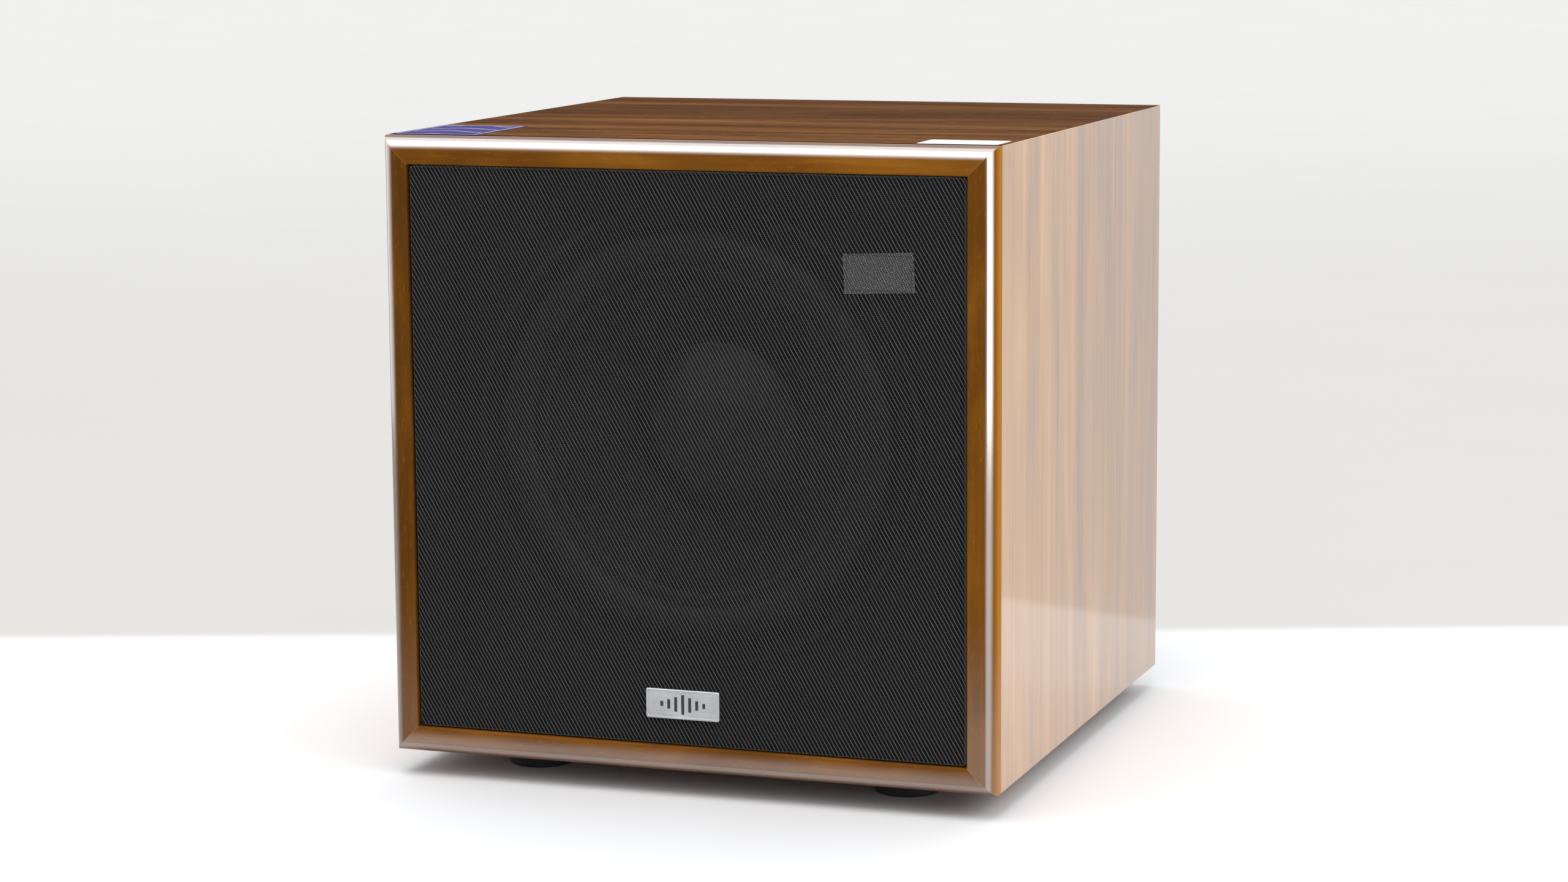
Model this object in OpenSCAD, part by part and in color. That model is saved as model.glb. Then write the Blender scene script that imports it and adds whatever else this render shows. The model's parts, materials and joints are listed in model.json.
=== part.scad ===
// Active subwoofer: a sealed wooden cabinet with a 12-inch driver behind a pull-off cloth grille
// and a plate amplifier on the back. Origin: centre of the footprint, on the surface that the feet
// stand on. +X is to the right seen from the front, +Y points to the back, +Z is up.

/* [Cabinet] */
// Outer width of the cabinet
cabinet_w = 430; // [420:1:460]
// Outer height of the cabinet without its feet
cabinet_h = 424; // [416:1:440]
// Depth from the face of the trim frame to the back of the boards
cabinet_d = 434; // [425:1:470]
// Thickness of the outer boards
wall_t = 18; // [15:0.5:20]
// Depth of the front baffle behind the face of the trim frame
baffle_recess = 34; // [32:0.5:40]
// Thickness of the front baffle
baffle_t = 22; // [18:1:25]

/* [Trim frame] */
// Width of the mitred rails round the grille
rail_w = 18.9; // [18.5:0.1:21]
// Depth of the rails, from their face to the boards
rail_d = 15.2; // [14:0.1:18]
// Radius of the rails' outer roundover
rail_round = 11; // [6:0.5:13]

/* [Feet] */
// Height of the rubber feet
foot_h = 16; // [10:0.5:20]
// Radius of the feet at the top
foot_r = 25; // [20:0.5:32]
// Distance from the middle of the cabinet to the feet
foot_x = 134; // [110:1:150]
// Distance from the front and the back of the cabinet to the feet
foot_inset = 69; // [50:1:90]

/* [Grille] */
// Gap between the grille and the rails
grille_gap = 0.8; // [0.5:0.1:2]
// Depth of the cloth's face behind the face of the rails
grille_recess = 2; // [1:0.5:4]
// Thickness of the stretched cloth
cloth_t = 1; // [0.6:0.1:1.2]
// Thickness of the board that the cloth is stretched on
grille_board_t = 16; // [12:1:18]
// Width of the badge
badge_w = 52.2; // [30:0.1:70]
// Height of the badge
badge_h = 20.2; // [10:0.1:24]

/* [Driver] */
// Height of the driver's axis above the underside of the cabinet
driver_z = 226; // [222:1:234]
// Outer radius of the basket's flange
flange_r = 157.5; // [156:0.5:160]
// Outer radius of the moving part of the surround
surround_r = 142; // [138:0.5:143]
// Radius of the cone at the surround
cone_r = 112; // [108:0.5:114]
// Radius of the dust cap
dust_cap_r = 58; // [45:1:70]
// Outer radius of the voice coil's former
former_r = 32.2; // [30:0.1:34]
// Outer radius of the magnet
magnet_r = 78; // [70:1:82]
// Length of the magnet along the axis
magnet_t = 24; // [18:1:30]
// Number of the driver's screws
driver_screw_count = 8; // [4:1:8]

/* [Rear amplifier] */
// Width of the amplifier's panel
amp_w = 210; // [200:1:230]
// Height of the amplifier's panel
amp_h = 270; // [260:1:290]
// Thickness of the amplifier's panel
amp_t = 3; // [2:0.5:4]
// Height of the heat sink's fins over the panel
fin_h = 15; // [14:0.5:20]
// Number of fins
fin_count = 15; // [9:1:19]
// Radius of the control knobs
knob_r = 9; // [7:0.5:11]
// Height of the control knobs
knob_h = 13; // [11:0.5:14]

/* [Hidden] */

$fn = 96;
overlap = 1;
front_y = -(cabinet_d + amp_t + fin_h) / 2;
back_y = front_y + cabinet_d;
plate_y = back_y + amp_t;
base_z = foot_h;
mid_z = base_z + cabinet_h / 2;
inner_w = cabinet_w - 2 * wall_t;
inner_h = cabinet_h - 2 * wall_t;
edge_ease = 0.6;

// Grille
grille_w = cabinet_w - 2 * rail_w - 2 * grille_gap;
grille_h = cabinet_h - 2 * rail_w - 2 * grille_gap;
grille_corner = 3;
cloth_y = front_y + grille_recess;
grille_back_y = cloth_y + cloth_t + grille_board_t;
skirt_d = 13;
window_side = 26;
window_top = 26;
window_bottom = 27;
window_corner = 32;
hump_h = 22;
hump_half_w = 46;
hump_blend = 30;
badge_t = 2;
badge_z = 47.9;
badge_x = -1.5;
badge_rim = 1.3;
peg_r = 4;
peg_gap = 0.05;
peg_root = 8;
peg_len = peg_root + baffle_recess - grille_recess - cloth_t - grille_board_t + 9;
peg_x = grille_w / 2 - 13;
peg_z = grille_h / 2 - 13;
socket_r = 6;
socket_depth = 13;

// Driver, along its own axis: z = 0 is the baffle's face and +z is towards the front
driver_cut_r = 141.5;
gasket_t = 1.5;
flange_z = gasket_t + 4;
screw_circle_r = 151;
screw_head_r = 4.3;
skin_t = 0.8;
lip_z = flange_z + skin_t;
roll_h = 12;
shelf_z = -72;
spider_r = 90;
basket_back_z = -94;
plate_z = -98;
top_plate_t = 10;
yoke_t = 10;
magnet_front_z = plate_z - top_plate_t;
magnet_back_z = magnet_front_z - magnet_t;
yoke_back_z = magnet_back_z - yoke_t;
neck_z = -50;
cone_lip_z = flange_z;
pole_r = former_r - 1.2;
gap_r = former_r + 2.1;

// Rear amplifier, seen from the back: +X is on the left
cutout_w = 180;
cutout_h = 240;
control_z = mid_z + 3;
volume_x = 52;
crossover_x = 2;
switch_z = mid_z - 42;
jack_z = mid_z - 88;
jack_pitch = 19;
inlet_x = -58;
inlet_z = mid_z - 46;
shaft_r = 3;
phase_travel = 5;
rocker_tilt = 10;
board_z = mid_z + 43;
sink_z = mid_z + 75;
led_x = 27;

// ---- shared shapes ----

// A 2-D outline drawn in X and Z, from y0 towards +Y
module along_y(y0, depth)
    translate([0, y0 + depth, 0]) rotate([90, 0, 0]) linear_extrude(depth) children();

// Children drawn about +Z, turned so that +Z points out of the baffle's face
module on_driver()
    translate([0, front_y + baffle_recess, base_z + driver_z]) rotate([90, 0, 0]) children();

// Children drawn about +Z, turned so that +Z points out of the back
module on_back(x, z, y = back_y) translate([x, y, z]) rotate([-90, 0, 0]) children();

function arc(cx, cy, r, a0, a1, steps) = [for (i = [0:steps])
    let (a = a0 + (a1 - a0) * i / steps) [cx + r * cos(a), cy + r * sin(a)]];

function round_rect(w, h, r, steps = 6) = concat(
    arc(w / 2 - r, h / 2 - r, r, 0, 90, steps), arc(-w / 2 + r, h / 2 - r, r, 90, 180, steps),
    arc(-w / 2 + r, -h / 2 + r, r, 180, 270, steps), arc(w / 2 - r, -h / 2 + r, r, 270, 360, steps));

function ring_places(count, r, turn = 0) =
    [for (i = [0:count - 1]) [r * cos(turn + i * 360 / count), r * sin(turn + i * 360 / count)]];

foot_places = [for (x = [-1, 1], y = [front_y + foot_inset, back_y - foot_inset]) [x * foot_x, y]];
peg_places = [for (x = [-1, 1], z = [-1, 1]) [x * peg_x, mid_z + z * peg_z]];
driver_screw_places = ring_places(driver_screw_count, screw_circle_r, 22.5);
amp_screw_places = concat(
    [for (x = [-1, 1], z = [-1, -1 / 3, 1 / 3, 1]) [x * (amp_w / 2 - 7), mid_z + z * (amp_h / 2 - 7)]],
    [for (z = [-1, 1]) [0, mid_z + z * (amp_h / 2 - 7)]]);

// A countersunk-washer head and a shank, pointing down -Z from z = 0
module screw(head_r, head_h, shank_r, length) {
    difference() {
        cylinder(r = head_r, h = head_h);
        for (turn = [0, 90]) rotate([0, 0, turn])
            translate([-head_r * 0.6, -0.5, head_h - 1.2]) cube([head_r * 1.2, 1, 2]);
    }
    translate([0, 0, -length]) cylinder(r = shank_r, h = length + 0.5);
}

// ---- cabinet boards ----

module outer_board(span, reach) {
    c = edge_ease;
    outline = [[-span / 2 + c, reach], [span / 2 - c, reach], [span / 2 - c / 2, reach - c / 2],
        [span / 2 - wall_t, reach - wall_t], [-span / 2 + wall_t, reach - wall_t],
        [-span / 2 + c / 2, reach - c / 2]];
    along_y(front_y + rail_d, cabinet_d - rail_d) polygon(outline);
}

module turned_board(angle, span, reach)
    translate([0, 0, mid_z]) rotate([0, angle, 0]) outer_board(span, reach);

module top_panel() color("saddlebrown") turned_board(0, cabinet_w, cabinet_h / 2);

module bottom_panel() color("saddlebrown") difference() {
    turned_board(180, cabinet_w, cabinet_h / 2);
    for (p = foot_places) translate([p[0], p[1], base_z - overlap]) cylinder(r = 2.1, h = 16);
}

module left_panel() color("tan") turned_board(270, cabinet_h, cabinet_w / 2);

module right_panel() color("tan") turned_board(90, cabinet_h, cabinet_w / 2);

module back_panel() color("saddlebrown") difference() {
    along_y(back_y - wall_t, wall_t) translate([0, mid_z]) square([inner_w, inner_h], center = true);
    along_y(back_y - wall_t - overlap, wall_t + 2 * overlap)
        translate([0, mid_z]) square([cutout_w, cutout_h], center = true);
    gasket_bed(overlap);
    for (p = amp_screw_places) on_back(p[0], p[1], back_y - 14) cylinder(r = 1.8, h = 15);
}

module front_baffle() color("dimgray") difference() {
    along_y(front_y + baffle_recess, baffle_t)
        translate([0, mid_z]) square([inner_w, inner_h], center = true);
    on_driver() {
        translate([0, 0, -baffle_t - overlap]) cylinder(r = driver_cut_r, h = baffle_t + 2 * overlap);
        for (p = driver_screw_places) translate([p[0], p[1], -18]) cylinder(r = 2.5, h = 19);
    }
    for (p = peg_places) translate([p[0], front_y + baffle_recess - overlap, p[1]])
        rotate([-90, 0, 0]) cylinder(r = socket_r + 0.05, h = socket_depth + overlap);
}

brace_y = front_y + 232;
brace_t = 18;
module window_brace() color("burlywood") difference() {
    along_y(brace_y, brace_t) translate([0, mid_z]) square([inner_w, inner_h], center = true);
    for (x = [-1, 1], z = [-1, 1])
        along_y(brace_y - overlap, brace_t + 2 * overlap)
            translate([x * inner_w / 4, mid_z + z * inner_h / 4])
                polygon(round_rect(inner_w / 2 - 42, inner_h / 2 - 42, 25));
}

batten = 16;
module corner_battens() color("burlywood")
    for (x = [-1, 1], z = [-1, 1], span = [
        [front_y + baffle_recess + baffle_t, brace_y],
        [brace_y + brace_t, back_y - wall_t]])
        along_y(span[0], span[1] - span[0])
            translate([x * (inner_w - batten) / 2, mid_z + z * (inner_h - batten) / 2])
                square(batten, center = true);

wadding_t = 15;
module damping_wadding() color("whitesmoke")
    for (span = [[front_y + 64, brace_y - 6], [brace_y + brace_t + 6, back_y - wall_t - 6]]) {
        for (x = [-1, 1]) along_y(span[0], span[1] - span[0])
            translate([x * (inner_w - wadding_t) / 2, mid_z])
                square([wadding_t, inner_h - 2 * batten - 20], center = true);
        along_y(span[0], span[1] - span[0])
            translate([0, mid_z + (inner_h - wadding_t) / 2])
                square([inner_w - 2 * batten - 20, wadding_t], center = true);
    }

// ---- trim frame ----

// Section across a rail: x is the depth from the face, y goes from the grille to the outside
module rail_section() {
    ease = 1.2;
    difference() {
        square([rail_d, rail_w]);
        difference() {
            translate([-1, rail_w - rail_round]) square(rail_round + 1);
            translate([rail_round, rail_w - rail_round]) circle(rail_round);
        }
        difference() {
            translate([-1, -1]) square(ease + 1);
            translate([ease, ease]) circle(ease);
        }
    }
}

module trim_rail(angle, span, reach)
    translate([0, front_y, mid_z]) rotate([0, angle, 0]) intersection() {
        translate([-span / 2, 0, reach - rail_w]) rotate([90, 0, 90]) linear_extrude(span) rail_section();
        along_y(-overlap, rail_d + 2 * overlap) polygon([[-span / 2, reach], [span / 2, reach],
            [span / 2 - rail_w - 1, reach - rail_w - 1], [-span / 2 + rail_w + 1, reach - rail_w - 1]]);
    }

module trim_rail_top() color("sienna") trim_rail(0, cabinet_w, cabinet_h / 2);
module trim_rail_bottom() color("sienna") trim_rail(180, cabinet_w, cabinet_h / 2);
module trim_rail_left() color("sienna") trim_rail(270, cabinet_h, cabinet_w / 2);
module trim_rail_right() color("sienna") trim_rail(90, cabinet_h, cabinet_w / 2);

// ---- feet and labels ----

foot_recess_r = 9;
foot_recess = 10;
module feet() color("black")
    for (p = foot_places) translate([p[0], p[1], 0]) rotate_extrude()
        polygon(concat([[2.4, foot_recess], [foot_recess_r, foot_recess], [foot_recess_r, 0]],
            arc(foot_r - 4.5, 2, 2, -90, -10, 4),
            arc(foot_r - 1, foot_h - 1, 1, 0, 90, 3), [[2.4, foot_h]]));

module foot_screws() color("silver")
    for (p = foot_places) translate([p[0], p[1], foot_recess]) rotate([180, 0, 0]) screw(6.5, 3.5, 2, 19);

label_t = 0.2;
module flat_label(x, depth, w, d) translate([x, front_y + depth, base_z + cabinet_h])
    linear_extrude(label_t) polygon(round_rect(w, d, 1.5, 3));

module corner_label() color("mediumpurple") flat_label(-182.5, 60, 62, 87);
module top_label() color("white") flat_label(184, 34, 54, 34);

// ---- grille ----

// Lower edge of the grille board's window: a flat hump under the badge with S-shaped shoulders
function hump(x) = hump_h * (1 - smooth((abs(x) - hump_half_w) / hump_blend));
function smooth(t) = t <= 0 ? 0 : t >= 1 ? 1 : t * t * (3 - 2 * t);

module window_outline() {
    left = -grille_w / 2 + window_side;
    right = grille_w / 2 - window_side;
    low = -grille_h / 2 + window_bottom;
    high = grille_h / 2 - window_top;
    r = window_corner;
    reach = hump_half_w + hump_blend;
    polygon(concat(arc(right - r, high - r, r, 0, 90, 8), arc(left + r, high - r, r, 90, 180, 8),
        arc(left + r, low + r, r, 180, 270, 8),
        [for (i = [0:20]) let (x = -reach + 2 * reach * i / 20) [x, low + hump(x)]],
        arc(right - r, low + r, r, 270, 360, 8)));
}

module grille_frame() color("dimgray") difference() {
    along_y(cloth_y + cloth_t, grille_board_t) translate([0, mid_z])
        polygon(round_rect(grille_w - 2 * cloth_t, grille_h - 2 * cloth_t, grille_corner - cloth_t));
    along_y(cloth_y, grille_board_t + 2 * overlap) translate([0, mid_z]) window_outline();
    for (p = peg_places) translate([p[0], grille_back_y - peg_root, p[1]])
        rotate([-90, 0, 0]) cylinder(r = peg_r, h = peg_root + overlap);
}

module grille_cloth() color("darkslategray") difference() {
    along_y(cloth_y, skirt_d) translate([0, mid_z]) polygon(round_rect(grille_w, grille_h, grille_corner));
    along_y(cloth_y + cloth_t, skirt_d) translate([0, mid_z])
        polygon(round_rect(grille_w - 2 * cloth_t, grille_h - 2 * cloth_t, grille_corner - cloth_t));
}

module badge() color("silver") difference() {
    along_y(cloth_y - badge_t, badge_t) translate([badge_x, base_z + badge_z])
        polygon(round_rect(badge_w, badge_h, 1.2));
    along_y(cloth_y - badge_t - overlap, 0.5 + overlap) translate([badge_x, base_z + badge_z])
        polygon(round_rect(badge_w - 2 * badge_rim, badge_h - 2 * badge_rim, 0.8));
}

module inner_label() color("lightgray") along_y(cloth_y + cloth_t, label_t)
    translate([136, base_z + 341]) rotate(2.5) square([48, 26], center = true);

module grille_pegs() color("black") for (p = peg_places) translate([p[0], grille_back_y - peg_root, p[1]])
    rotate([-90, 0, 0]) {
        cylinder(r = peg_r, h = peg_len);
        translate([0, 0, peg_len]) cylinder(r1 = peg_r, r2 = peg_r - 1.5, h = 2);
    }

module grille_sockets() color("black")
    for (p = peg_places) translate([p[0], front_y + baffle_recess, p[1]]) rotate([-90, 0, 0])
        difference() {
            union() {
                cylinder(r = socket_r, h = socket_depth);
                translate([0, 0, -1]) cylinder(r = socket_r + 2, h = 1);
            }
            translate([0, 0, -2]) cylinder(r = peg_r + peg_gap, h = socket_depth + 1);
        }

// ---- driver, fixed parts ----

module driver_gasket() color("dimgray") on_driver() difference() {
    cylinder(r = flange_r - 1, h = gasket_t);
    translate([0, 0, -1]) cylinder(r = driver_cut_r, h = gasket_t + 2);
    for (p = driver_screw_places) translate([p[0], p[1], -1]) cylinder(r = 2.8, h = gasket_t + 2);
}

// One cast piece: the flange, the tapering legs, the shelf for the spider and the plate's seat
module driver_basket() color("gray") on_driver() difference() {
    rotate_extrude() polygon([[flange_r, gasket_t], [flange_r, flange_z], [surround_r - 4, flange_z],
        [surround_r - 5, -10], [spider_r + 6, shelf_z + 3], [spider_r, shelf_z + 3], [spider_r, shelf_z],
        [spider_r - 8, shelf_z], [magnet_r - 8, basket_back_z], [42, basket_back_z], [42, plate_z],
        [magnet_r - 2, plate_z], [spider_r + 1, shelf_z - 5], [surround_r - 1.5, -13],
        [surround_r - 1.5, gasket_t]]);
    for (i = [0:7]) rotate([0, 0, i * 45 + 22.5]) {
        translate([84, -19, -66]) cube([70, 38, 52]);
        translate([74, -14, basket_back_z + 2]) cube([30, 28, 16]);
    }
    for (p = driver_screw_places) translate([p[0], p[1], 0]) cylinder(r = 2.8, h = 10);
}

module surround_ring() color("black") on_driver() difference() {
    rotate_extrude() polygon([[surround_r + 0.5, lip_z], [surround_r + 4, lip_z],
        [surround_r + 4, flange_z], [surround_r + 10, flange_z], [surround_r + 10, flange_z + 2],
        [surround_r + 9, flange_z + 3], [surround_r + 0.5, flange_z + 3]]);
    for (p = driver_screw_places) translate([p[0], p[1], 0]) cylinder(r = screw_head_r + 0.7, h = 20);
}

// Half roll between the flange and the cone, with a flat lip at each side
module surround() color("black") on_driver() {
    mid_r = (surround_r + cone_r) / 2 + 0.5;
    half = (surround_r - cone_r) / 2 - 1;
    inner = half - skin_t;
    rotate_extrude() polygon(concat([[surround_r + 3.9, flange_z], [surround_r + 3.9, lip_z]],
        [for (a = [0:15:180]) [mid_r + half * cos(a), lip_z + roll_h * sin(a)]],
        [[cone_r - 5, lip_z], [cone_r - 5, flange_z]],
        [for (a = [0:15:180]) [mid_r - inner * cos(a), flange_z + roll_h * sin(a)]]));
}

// Corrugated disc that centres the coil
spider_steps = 36;
spider_inner = former_r + 0.3;
spider_outer = spider_r - 0.5;
function spider_at(i) = spider_inner + (spider_outer - spider_inner) * i / spider_steps;
function spider_wave(i) = 2.2 * sin(i * 40) * (i > 4 && i < spider_steps - 4 ? 1 : 0);
module spider() color("goldenrod") on_driver() rotate_extrude() polygon(concat(
    [for (i = [0:spider_steps]) [spider_at(i), shelf_z + 0.8 + spider_wave(i)]],
    [for (i = [spider_steps:-1:0]) [spider_at(i), shelf_z + spider_wave(i)]]));

module ring(inner, outer, z0, z1) difference() {
    translate([0, 0, z0]) cylinder(r = outer, h = z1 - z0);
    translate([0, 0, z0 - 1]) cylinder(r = inner, h = z1 - z0 + 2);
}

module top_plate() color("silver") on_driver() ring(gap_r, magnet_r - 6, magnet_front_z, plate_z);

module magnet() color("dimgray") on_driver() ring(42, magnet_r, magnet_back_z, magnet_front_z);

vent_r = 9;
module yoke() color("silver") on_driver() rotate_extrude() polygon([[vent_r, yoke_back_z],
    [magnet_r - 7, yoke_back_z], [magnet_r - 6, yoke_back_z + 1], [magnet_r - 6, magnet_back_z],
    [pole_r, magnet_back_z], [pole_r, plate_z + 2], [vent_r + 4, plate_z + 2], [vent_r, plate_z - 6]]);

module magnet_boot() color("black") on_driver() rotate_extrude() polygon([[14, yoke_back_z - 2.2],
    [magnet_r + 1, yoke_back_z - 2.2], [magnet_r + 2.8, yoke_back_z], [magnet_r + 2.8, magnet_front_z + 2],
    [magnet_r + 0.3, magnet_front_z + 2], [magnet_r + 0.3, magnet_back_z - 2],
    [magnet_r - 4, yoke_back_z - 0.2], [14, yoke_back_z - 0.2]]);

// Block with two push-on tabs, flat against the slope of the basket's lowest leg
terminal_r = 115.9;
terminal_z = -45;
leg_slope = atan((surround_r - spider_r - 2.5) / (shelf_z * -1 - 8));
tab_x = 10;
module driver_terminals() on_driver() rotate([0, 0, -90])
    translate([terminal_r, 0, terminal_z]) rotate([0, leg_slope, 0]) {
        color("black") translate([0.2, -16, -8]) cube([3, 32, 16]);
        color("gold") for (y = [-1, 1]) translate([3.2, y * tab_x - 2.4, -0.4]) cube([12, 4.8, 0.8]);
    }

module driver_screws() color("black") on_driver()
    for (p = driver_screw_places) translate([p[0], p[1], flange_z]) screw(screw_head_r, 3, 2.4, 22);

// ---- driver, moving parts ----

rib_r = 96;
cone_slope = (cone_lip_z - 3 - neck_z) / (cone_r - 5 - former_r);
// Height of the cone's front face at radius r
function dish(r) = neck_z + (r - former_r) * cone_slope;
module cone() color("dimgray") on_driver() rotate_extrude() polygon([[former_r, neck_z],
    [former_r, neck_z - 2.2], [cone_r - 3.6, dish(cone_r - 3.6) - 1.6], [cone_r, cone_lip_z - 1.4],
    [cone_r, cone_lip_z], [cone_r - 5, cone_lip_z], [cone_r - 6, dish(cone_r - 6)],
    [rib_r + 4, dish(rib_r + 4)], [rib_r, dish(rib_r) + 1.6], [rib_r - 4, dish(rib_r - 4)]]);

module dust_cap() color("black") on_driver() {
    seat = dish(dust_cap_r) + 0.05;
    rise = 15;
    r = (dust_cap_r * dust_cap_r + rise * rise) / (2 * rise);
    half = asin(dust_cap_r / r);
    rotate_extrude() polygon(concat(
        [for (i = [0:8]) let (a = half * (1 - i / 8)) [r * sin(a), seat + rise - r + r * cos(a)]],
        [for (i = [0:8]) let (a = (half - 0.25) * i / 8)
            [(r - 1) * sin(a), seat + rise - r + (r - 1) * cos(a)]]));
}

module voice_coil_former() color("goldenrod") on_driver() ring(former_r - 0.5, former_r, -118, neck_z + 2);

module voice_coil_winding() color("orangered") on_driver() ring(former_r, former_r + 1.2, -116, -90);

// ---- rear amplifier ----

module amp_plate_outline() polygon(round_rect(amp_w, amp_h, 5));

// Shallow bed round the cutout for the foam strip
module gasket_bed(over) along_y(back_y - 1, 1 + over) translate([0, mid_z])
    square([cutout_w + 8, cutout_h + 8], center = true);

module amp_panel() color("black") difference() {
    along_y(back_y, amp_t) translate([0, mid_z]) amp_plate_outline();
    for (p = amp_screw_places) on_back(p[0], p[1], back_y - 1) cylinder(r = 2.1, h = amp_t + 2);
    for (x = [volume_x, crossover_x]) on_back(x, control_z, back_y - 1) cylinder(r = 4, h = amp_t + 2);
    for (x = [-1, 1])
        on_back(volume_x + x * jack_pitch / 2, jack_z, back_y - 1) cylinder(r = 5.2, h = amp_t + 2);
    on_back(led_x, control_z + 22, back_y - 1) cylinder(r = 1.6, h = amp_t + 2);
    for (x = [volume_x, crossover_x])
        along_y(back_y - 1, amp_t + 2) translate([x, switch_z]) square([14, 4.6], center = true);
    along_y(back_y - 1, amp_t + 2) translate([inlet_x, inlet_z])
        square([module_w + 0.4, module_h + 0.4], center = true);
}

module amp_gasket() color("dimgray") difference() {
    gasket_bed(0);
    along_y(back_y - 2, 3) translate([0, mid_z]) square([cutout_w, cutout_h], center = true);
}

module amp_screws() color("black")
    for (p = amp_screw_places) on_back(p[0], p[1], plate_y) screw(3.9, 2.4, 1.7, 15);

sink_w = 150;
sink_h = 86;
sink_base = 4;
fin_t = 2.2;
module heat_sink() color("black")
    translate([-sink_w / 2, plate_y, sink_z - sink_h / 2]) linear_extrude(sink_h) {
        square([sink_w, sink_base]);
        for (i = [0:fin_count - 1])
            translate([i * (sink_w - fin_t) / (fin_count - 1), 0]) square([fin_t, fin_h]);
    }

board_w = 160;
board_y = back_y - 98;
board_t = 1.6;
module main_board() color("darkgreen") translate([-board_w / 2, board_y, board_z])
    cube([board_w, 92, board_t]);

board_gap = 13;
module input_board() color("darkgreen") along_y(back_y - board_gap - board_t, board_t)
    translate([volume_x / 2 + 1, mid_z - 42]) square([96, 124], center = true);

module transformer() translate([-95, front_y + 330, base_z + wall_t]) {
    color("goldenrod") rotate_extrude() polygon(round_section());
    color("black") translate([0, 0, 40]) cylinder(r = 22, h = 2);
    color("silver") cylinder(r = 3, h = 46);
}

function round_section() = concat(arc(40, 6, 6, -90, 0, 5), arc(40, 34, 6, 0, 90, 5),
    arc(18, 34, 6, 90, 180, 5), arc(18, 6, 6, 180, 270, 5));

module filter_capacitors() color("navy")
    for (x = [-22, 22]) translate([x, board_y + 26, board_z + board_t]) {
        cylinder(r = 17.5, h = 50);
        translate([0, 0, 50]) cylinder(r = 16, h = 0.6);
    }

module output_transistors() for (x = [-60, -34, 34, 60]) translate([x, back_y, board_z + 16]) {
    color("black") translate([-8, -5, 0]) cube([16, 5, 20]);
    color("silver") for (lead = [-5.4, 0, 5.4]) {
        translate([lead - 0.5, -6.5, -16 + board_t]) cube([1, 1, 17 - board_t]);
        translate([lead - 0.5, -6.5, 0]) cube([1, 1.5, 1]);
    }
}

// Square body with a round threaded bush that passes through the panel
module potentiometers() for (x = [volume_x, crossover_x]) on_back(x, control_z) {
    color("silver") translate([-8, -8, -board_gap]) cube([16, 16, board_gap]);
    color("gold") difference() {
        cylinder(r = 3.7, h = amp_t + 1.2);
        translate([0, 0, 0.5]) cylinder(r = shaft_r + 0.05, h = amp_t + 2);
    }
}

module slide_switch_housings() color("silver") for (x = [volume_x, crossover_x]) on_back(x, switch_z)
    difference() {
        translate([-12, -5, -board_gap]) cube([24, 10, board_gap]);
        translate([-9, -2.6, -5]) cube([18, 5.2, 6]);
    }

// Knob with its shaft. The skirt stands clear of the panel.
module knob() {
    difference() {
        translate([0, 0, amp_t + 1.7]) rotate_extrude() polygon([[0, 0], [knob_r, 0], [knob_r, 2],
            [knob_r - 0.8, 3], [knob_r - 1.6, knob_h - 2.6], [knob_r - 2.6, knob_h - 1.7],
            [0, knob_h - 1.7]]);
        for (i = [0:17]) rotate([0, 0, i * 20 + 10])
            translate([knob_r - 0.2, 0, amp_t + 5]) cylinder(r = 0.9, h = knob_h);
        translate([-0.5, -knob_r - 1, amp_t + knob_h - 0.6]) cube([1, knob_r - 1, 2]);
    }
    translate([0, 0, 1]) cylinder(r = shaft_r, h = amp_t + 1.7);
}

module volume_knob() color("dimgray") on_back(volume_x, control_z) knob();
module crossover_knob() color("dimgray") on_back(crossover_x, control_z) knob();

// Slider tab: a wide shoe inside the housing and a narrow tab through the panel
module slider() {
    translate([-3.5, -2.2, -4.2]) cube([7, 4.4, 3.2]);
    translate([-2, -1.6, -1.2]) cube([4, 3.2, amp_t + 4]);
}

module phase_slider() color("white") on_back(volume_x + phase_travel / 2, switch_z) slider();
module power_mode_slider() color("white") on_back(crossover_x, switch_z) slider();

// Moulded module with the rocker's frame, the fuse drawer's slot and the mains inlet
module_w = 30;
module_h = 84;
bezel = 3;
bezel_t = 2.2;
module_depth = 24;
rocker_z = 26;
drawer_z = 7;
socket_z = -20;
socket_w = 24.6;
socket_h = 16.8;
socket_d = 16;
rocker_w = 21;
rocker_h = 14;

module socket_outline(grow = 0) {
    w = socket_w / 2 + grow;
    h = socket_h / 2 + grow;
    polygon([[-w, -h], [w, -h], [w, h - 5], [w - 5, h], [-w + 5, h], [-w, h - 5]]);
}

module inlet_module() on_back(inlet_x, inlet_z) {
    color("black") difference() {
        union() {
            translate([0, 0, -module_depth]) linear_extrude(module_depth + amp_t + 1)
                square([module_w, module_h], center = true);
            translate([0, 0, amp_t]) linear_extrude(bezel_t)
                polygon(round_rect(module_w + 2 * bezel, module_h + 2 * bezel, 2.5));
        }
        translate([-rocker_w / 2 - 0.5, -rocker_z - rocker_h / 2 - 0.4, -13])
            cube([rocker_w + 1, rocker_h + 0.8, 30]);
        translate([0, -rocker_z - pin_span / 2 - 0.2, rocker_axis_y - back_y]) rotate([-90, 0, 0])
            cylinder(r = pin_r + 0.05, h = pin_span + 0.4);
        translate([-11.4, -drawer_z - 4.4, -18]) cube([22.8, 8.8, 40]);
        translate([0, -socket_z, amp_t + bezel_t - socket_d]) rotate([180, 0, 0])
            mirror([0, 0, 1]) linear_extrude(socket_d + 2) socket_outline();
    }
    color("silver") for (p = [[-7, 2], [7, 2], [0, -2]])
        translate([p[0] - 1, -socket_z + p[1] - 2, amp_t + bezel_t - socket_d - 1]) cube([2, 4, 11]);
}

rocker_axis_y = plate_y - 4;
pin_r = 1.5;
pin_span = rocker_h + 4;
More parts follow.
